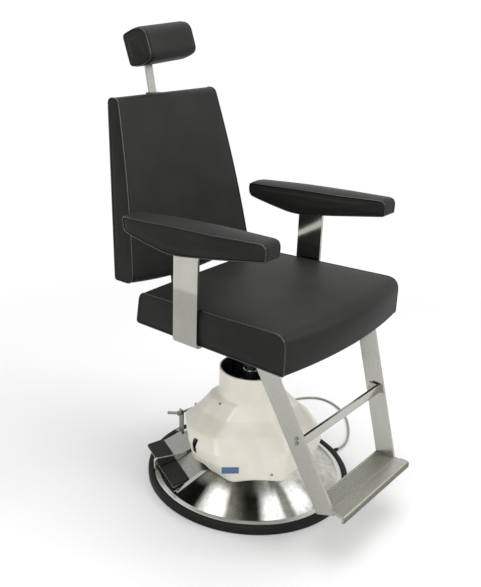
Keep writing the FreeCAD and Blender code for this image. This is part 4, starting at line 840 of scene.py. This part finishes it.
def shroud_foot(azimuth):
    """The lower edge follows the spun cover, and arches up over the pedals."""
    r = shroud_radius(azimuth, np.full(azimuth.shape, FOOT_Z))
    edge = np.minimum(cone_height(r) + 2.0, FOOT_Z)
    across = r * np.sin(np.radians(azimuth - PEDAL_AZ))
    ahead = np.cos(np.radians(azimuth - PEDAL_AZ)) > 0
    inside = np.clip(1 - np.abs(across - ARCH_MIDDLE) / ARCH_HALF, 0, 1)
    lift = np.clip(inside * 9, 0, 1)
    return edge + np.where(ahead, (ARCH_Z - edge) * lift, 0)


def shroud_half(name, start, node):
    """Half a turn of the shell from azimuth `start`: rows follow the foot, then rise level to the neck."""
    narrow_first = [0, 0.12, 2.4]
    azimuth = start + 0.04 + np.concatenate([narrow_first, np.linspace(3.5, 176.3, 150),
                                             [177.48, 179.76, 179.92]])
    foot = shroud_foot(azimuth)
    fixed = np.linspace(LEVEL_Z, NECK_Z, LEVEL_ROWS)
    for edge in (SLOT_LOW, SLOT_HIGH):
        fixed[np.abs(fixed - edge).argmin()] = edge
    low = foot[None] + (LEVEL_Z - foot[None]) * np.linspace(0, 1, FOOT_ROWS)[:-1, None]
    z = np.vstack([low, np.broadcast_to(fixed[:, None], (LEVEL_ROWS, len(azimuth)))])
    a = np.broadcast_to(azimuth, z.shape)
    r = shroud_radius(a, z)
    grid = np.stack([r * np.cos(np.radians(a)), r * np.sin(np.radians(a)), z], -1)
    middle = (z[:-1, :-1] + z[1:, 1:]) / 2
    keep = np.ones(middle.shape, bool)
    columns = slice(0, 2) if start > 90 else slice(-2, None)
    keep[:, columns] = (middle[:, columns] < SLOT_LOW) | (middle[:, columns] > SLOT_HIGH)
    half = skin(name, grid, around=False, ends=False, keep=keep)
    wall(half, SHELL_T)
    place(half, "base", cream_shell, node, slot="cream_shell")
    return half


shroud = [shroud_half("shroud_shell_front", SEAM_AZ, "shroud_front"),
          shroud_half("shroud_shell_rear", SEAM_AZ - 180.0, "shroud_rear")]
print("shroud halves", [len(h.data.polygons) for h in shroud])

# %% [markdown]
# ## Spun cover
# The cover is a turned shape: a profile of distance from the axis and height, carried
# round a circle. A window is left open in it where the pedals come out.
# %% Spun cover
WINDOW_IN, WINDOW_OUT, WINDOW_FAR, WINDOW_NEAR = 80.0, 252.2, -158.0, 58.0


def lathe(profile, count=360):
    """Ring k is the profile's point k at every azimuth: (r cos a, r sin a, z)."""
    r, z = np.asarray(profile, float).T
    a = np.linspace(0, 2 * math.pi, count, endpoint=False)
    high = np.broadcast_to(z[:, None], (len(r), count))
    return np.stack([r[:, None] * np.cos(a), r[:, None] * np.sin(a), high], -1)


slope_marks = [(r, cone_height(r)) for r in np.linspace(121, 252, 60)]
rim_marks = [(254, 21.8), (256, 21.5), (263, 21.5), (265.5, 21.1), (267, 20.0), (267.5, 18.0), (267.5, 8.0),
             (267.5, 0.5)]
grid = lathe([(118, 105), (119, 104.4)] + slope_marks + rim_marks, 720)
centre = (grid[:-1] + grid[1:]) / 2
c, s = math.cos(math.radians(PEDAL_AZ)), math.sin(math.radians(PEDAL_AZ))
ahead = centre[..., 0] * c + centre[..., 1] * s
across = -centre[..., 0] * s + centre[..., 1] * c
radius = np.hypot(centre[..., 0], centre[..., 1])
window = (ahead > WINDOW_IN) & (across > WINDOW_FAR) & (across < WINDOW_NEAR) & (radius < WINDOW_OUT)
spun_cover = wall(skin("spun_base_cover", grid, ends=False, keep=~window), 1.5)
print("cover cells", int((~window).sum()))

# %% [markdown]
# ### Spun steel
# The cone was spun and then polished outwards by hand. Broad bands of light and dark,
# painted reflections, run outwards from the axis, so the colour is a function of the
# azimuth, with one set of painted reflections by the shroud and one further out, and a
# bright rolled rim.
# %% Spun steel
# Painted reflections: an azimuth in degrees and the light or dark colour painted there.
PAINTED_REFLECTIONS = (
    (-180, "#0f0f0e"), (-175, "#161614"), (-171.5, "#c4c4bd"), (-166, "#f4f4ef"), (-157, "#d0d0c9"),
    (-153.5, "#5f5f57"), (-147, "#4a4a43"), (-141, "#282823"), (-134.5, "#2e2e29"), (-131, "#d8d8d2"),
    (-128, "#ffffff"), (-119.5, "#ffffff"), (-117.5, "#8f8f87"), (-112, "#84847d"), (-109.5, "#f4f4f0"),
    (-98, "#ffffff"), (-94, "#b4b4ad"), (-60, "#c4c4bc"), (-20, "#c0c0b9"), (30, "#adada6"), (80, "#bcbcb5"),
    (110, "#b0b0a9"), (140, "#bcbcb5"), (162, "#8d8d86"), (167, "#1c1c1a"), (180, "#0f0f0e"))
PAINTED_REFLECTIONS_BY_THE_SHROUD = (
    (-180, "#8a8a83"), (-173, "#74746d"), (-166, "#8f8f87"), (-158, "#77776f"), (-150, "#5a5a53"),
    (-138, "#66665f"), (-133, "#b4b4ad"), (-124, "#d6d6d0"), (-121, "#8b8b83"), (-114, "#84847d"),
    (-110, "#d6d6d0"), (-94, "#d0d0ca"), (-60, "#c4c4bc"), (0, "#b4b4ad"), (90, "#b4b4ad"),
    (160, "#a3a39b"), (180, "#8a8a83"))
INNER_TO, OUTER_FROM = 0.172, 0.205      # metres from the axis
RIM_FROM, RIM_TO = 0.2525, 0.2545


def sectors(tree, around, tones):
    """The tones, given as (azimuth in degrees, hex colour), over a socket from 0 to 1 round the circle."""
    return ramp(tree, around, [((a + 180) / 360, c) for a, c in tones]).outputs["Color"]


def radial_lines(tree, angle, scale, **inputs):
    """Noise along the azimuth only, so that its lines run outwards."""
    node = add(tree, "ShaderNodeTexNoise", {"W": angle, "Scale": scale, **inputs}, noise_dimensions="1D")
    return node.outputs["Fac"]


def spun(name):
    """Colour = painted reflections in sectors by azimuth, mixed from the inner set to the outer by the
    distance from the axis, times a few scuffs, with a bright rim. The azimuth is shaken a little by fine
    radial noise."""
    surface, tree, shade, where = finish(name, "#b8b8b0", 0.3, Metallic=1.0)
    x, y, _, reach = split(tree, where)
    angle = add(tree, "ShaderNodeMath", {0: y, 1: x}, operation="ARCTAN2").outputs[0]
    streak = radial_lines(tree, angle, 40.0, Detail=4.0, Roughness=0.7)
    shaken = add(tree, "ShaderNodeMath", {0: streak, 1: 0.05, 2: angle}, operation="MULTIPLY_ADD")
    around = map_range(tree, shaken.outputs[0], -math.pi, math.pi)
    outwards = map_range(tree, reach, INNER_TO, OUTER_FROM, interpolation_type="SMOOTHSTEP")
    sector = mix_colours(tree, outwards, sectors(tree, around, PAINTED_REFLECTIONS_BY_THE_SHROUD),
                         sectors(tree, around, PAINTED_REFLECTIONS))
    scuff = add(tree, "ShaderNodeTexNoise", {"Vector": where, "Scale": 55.0, "Detail": 5.0, "Roughness": 0.7})
    wear = ramp(tree, scuff.outputs["Fac"], ((0.35, "#ffffff"), (0.75, "#c4c4c0"))).outputs["Color"]
    # The painted reflections times the real scuffs.
    worn = mix_colours(tree, 1.0, sector, wear, "MULTIPLY")
    rim = map_range(tree, reach, RIM_FROM, RIM_TO)
    tree.links.new(mix_colours(tree, rim, worn, to_linear("#c9c9c3")), shade.inputs["Base Color"])
    bump(tree, shade, radial_lines(tree, angle, 260.0, Detail=3.0), 0.04, 0.25)
    return surface


spun_steel_painted_reflections = spun("spun_stainless_steel_painted_reflections")
place(spun_cover, "base", spun_steel_painted_reflections, "base_cover", slot="polished_steel")
print("sectors", len(PAINTED_REFLECTIONS), "and", len(PAINTED_REFLECTIONS_BY_THE_SHROUD))

# %% [markdown]
# ### Rubber bumper and folded lip
# The bumper is a closed turned ring. The sheet between the pedals has its top edge
# folded over into a lip that turns down at its outer end.
# %% Bumper and lip
ring_profile = softened(((268, 0), (283, 0), (283.6, 13), (282.4, 25.5), (268, 24)), (3, 5, 6, 6, 4), 8)
bumper = lathe(ring_profile, 360)
bumper = np.vstack([bumper, bumper[:1]])
bumper_ring = skin("rubber_bumper", bumper, ends=False)
place(bumper_ring, "base", bumper_rubber, "bumper_ring", slot="rubber")


LIP_TOP, LIP_ACROSS, LIP_THICK = 71.0, -50.0, 1.5
LIP_NARROW, LIP_WIDE = 1.5, 5.5          # half widths, beside the pads and past them
PADS_END, LIP_FULL = 251.0, 262.0        # mm from the axis


def divider_lip():
    """A rounded strip along the divider's top edge, narrow beside the pads and wide past them, that
    turns down at its end. Out is the distance from the axis along the pedals."""
    out = np.concatenate([np.linspace(128, 259, 40), [262.5, 264.0, 264.0, 264.0]])
    top = np.concatenate([np.full(40, LIP_TOP), [70.0, 66.5, 50.0, 26.0]])
    half = np.interp(out, (PADS_END, LIP_FULL), (LIP_NARROW, LIP_WIDE))
    turn = np.linspace(0, 2 * math.pi, 16, endpoint=False)
    wide = np.sign(np.cos(turn)) * np.abs(np.cos(turn)) ** 0.6
    thick = LIP_THICK * np.sin(turn)
    slope = np.gradient(np.stack([out, top], -1), axis=0)
    slope /= np.linalg.norm(slope, axis=1)[:, None]
    d = out[:, None] - slope[:, 1:] * thick
    z = top[:, None] + slope[:, :1] * thick
    y = LIP_ACROSS + half[:, None] * wide
    c, s = math.cos(math.radians(PEDAL_AZ)), math.sin(math.radians(PEDAL_AZ))
    return np.stack([d * c - y * s, d * s + y * c, z], -1)


lip = skin("folded_divider_lip", divider_lip())
place(lip, "base", polished_steel, slot="polished_steel")
print("bumper faces", len(bumper_ring.data.polygons), "lip faces", len(lip.data.polygons))

# %% [markdown]
# ## Finishes on the machined parts
# The other parts keep the solid model's own shape. Their triangles are welded by a
# modifier, and a fine bevel takes the sharpness off every edge, so that it catches
# light as a real edge does.
# %% Finish the machined parts
def dress(names, surface, width=0.5):
    """Gives CAD parts a material, and an edge break `width` mm wide."""
    for name in names.split():
        part = NODES[name]
        part.data.materials.clear()
        part.data.materials.append(surface)
        part.data.shade_smooth()
        weld = part.modifiers.new("weld", "WELD")
        weld.merge_threshold = 1e-5
        edge = part.modifiers.new("edge", "BEVEL")
        edge.width = width * MM
        edge.segments = 2
        edge.limit_method = "ANGLE"
        edge.angle_limit = math.radians(32)
        edge.harden_normals = False
        flat = part.modifiers.new("flat", "WEIGHTED_NORMAL")
        flat.weight = 100
        flat.keep_sharp = False


dress("arm_post_left arm_post_right", mirror_steel, 0.8)
dress("footrest_bar_left footrest_bar_right footrest_crossbar pedal_rails pedal_divider", polished_steel, 0.7)
dress("headrest_stalk", stalk_steel, 0.7)
dress("ram", ram_steel, 0.6)
dress("guide_rods tilt_pin recline_pin", chrome, 0.4)
dress("footrest_screws hub_bolts lock_bracket lock_lever pedal_plate_lower pedal_plate_raise pedal_shaft "
      "pedal_springs shroud_screws footrest_tie headrest_frame", zinc_steel, 0.4)
dress("base_plate", base_casting, 0.8)
dress("cylinder_barrel cylinder_gland crosshead swivel_hub", cast_iron, 0.8)
dress("footrest_step", step_aluminium, 0.6)
dress("guide_bushes piston thrust_bearing", bronze, 0.3)
dress("guide_bridge pump_motor pump_body oil_reservoir pressure_pipe", machine_paint, 0.5)
dress("saddle_plate back_bar headrest_guide", black_enamel, 0.6)
dress("pedal_pad_lower pedal_pad_raise", pedal_rubber, 0.8)
dress("recline_knob pedal_switches", black_plastic, 0.8)
dress("badge_plate", badge_metal, 0.2)
dress("seat_board back_board", plywood, 0.5)
print("parts without a finish", [n for n, o in NODES.items() if not o.hide_render and not o.data.materials])

# %% [markdown]
# ## Floor, backdrop and light
# The floor is plain and pale. Where the camera, a mirror-like surface or glass looks
# at the surroundings, it sees white. Three lamps and a weak even fill light the chair.
# %% Floor and light
def seen_directly(tree):
    """1 for camera, glossy and transmission rays, 0 for the rest."""
    path = add(tree, "ShaderNodeLightPath")
    one = add(tree, "ShaderNodeMath", {0: path.outputs["Is Camera Ray"], 1: path.outputs["Is Glossy Ray"]},
              operation="MAXIMUM")
    return add(tree, "ShaderNodeMath", {0: one.outputs[0], 1: path.outputs["Is Transmission Ray"]},
               operation="MAXIMUM").outputs[0]


world = bpy.data.worlds.new("studio")
bpy.context.scene.world = world
world.use_nodes = True
tree = world.node_tree
tree.nodes.clear()
sight = seen_directly(tree)
fill_light = add(tree, "ShaderNodeBackground", {"Color": (1, 1, 1, 1), "Strength": 0.46})
white_wall = add(tree, "ShaderNodeBackground", {"Color": (1, 1, 1, 1), "Strength": 1.0})
mixed = add(tree, "ShaderNodeMixShader", {0: sight, 1: fill_light.outputs[0], 2: white_wall.outputs[0]})
add(tree, "ShaderNodeOutputWorld", {0: mixed.outputs[0]})

floor_material, tree, shade, where = finish("pale_floor", "#f2f2f2", 0.9)
tree.nodes.remove(shade)
matt = add(tree, "ShaderNodeBsdfDiffuse", {"Color": to_linear("#dedede")})
glow = add(tree, "ShaderNodeEmission", {"Color": (1, 1, 1, 1), "Strength": 0.12})
lift = add(tree, "ShaderNodeAddShader", {0: matt.outputs[0], 1: glow.outputs[0]})
white = add(tree, "ShaderNodeEmission", {"Color": (1, 1, 1, 1), "Strength": 1.0})
from_chair = add(tree, "ShaderNodeVectorMath", {0: where}, operation="LENGTH")
far = map_range(tree, from_chair.outputs["Value"], 0.75, 1.9, interpolation_type="SMOOTHSTEP")
faded = add(tree, "ShaderNodeMixShader", {0: far, 1: lift.outputs[0], 2: white.outputs[0]})
floor_mix = add(tree, "ShaderNodeMixShader",
                {0: seen_directly(tree), 1: matt.outputs[0], 2: faded.outputs[0]})
tree.links.new(floor_mix.outputs[0], tree.nodes["Material Output"].inputs["Surface"])
FLOOR_HALF = 30000.0
corners = FLOOR_HALF * np.array([[[-1, -1, 0], [1, -1, 0]], [[-1, 1, 0], [1, 1, 0]]])
floor = skin("studio_floor", corners, around=False, ends=False)
floor.data.materials.append(floor_material)


def softbox(name, at, aim, size, power):
    """A rectangular lamp of `power` watts at one point, turned to face another."""
    lamp = bpy.data.lights.new(name, "AREA")
    lamp.shape = "RECTANGLE"
    lamp.size, lamp.size_y = size
    lamp.energy = power
    holder = bpy.data.objects.new(name, lamp)
    holder.location = at
    holder.rotation_mode = "QUATERNION"
    holder.rotation_quaternion = (Vector(at) - Vector(aim)).to_track_quat("Z", "Y")
    bpy.context.scene.collection.objects.link(holder)


softbox("overhead_softbox", (0.2, 0.1, 3.3), (0, 0, 0.4), (2.6, 2.6), 82)
softbox("key_softbox", (1.3, -2.6, 2.3), (0, 0, 0.5), (1.5, 1.5), 44)
softbox("side_softbox", (-3.0, -1.2, 1.6), (0, 0, 0.4), (1.6, 1.6), 38)
bpy.context.scene.view_settings.view_transform = "Standard"
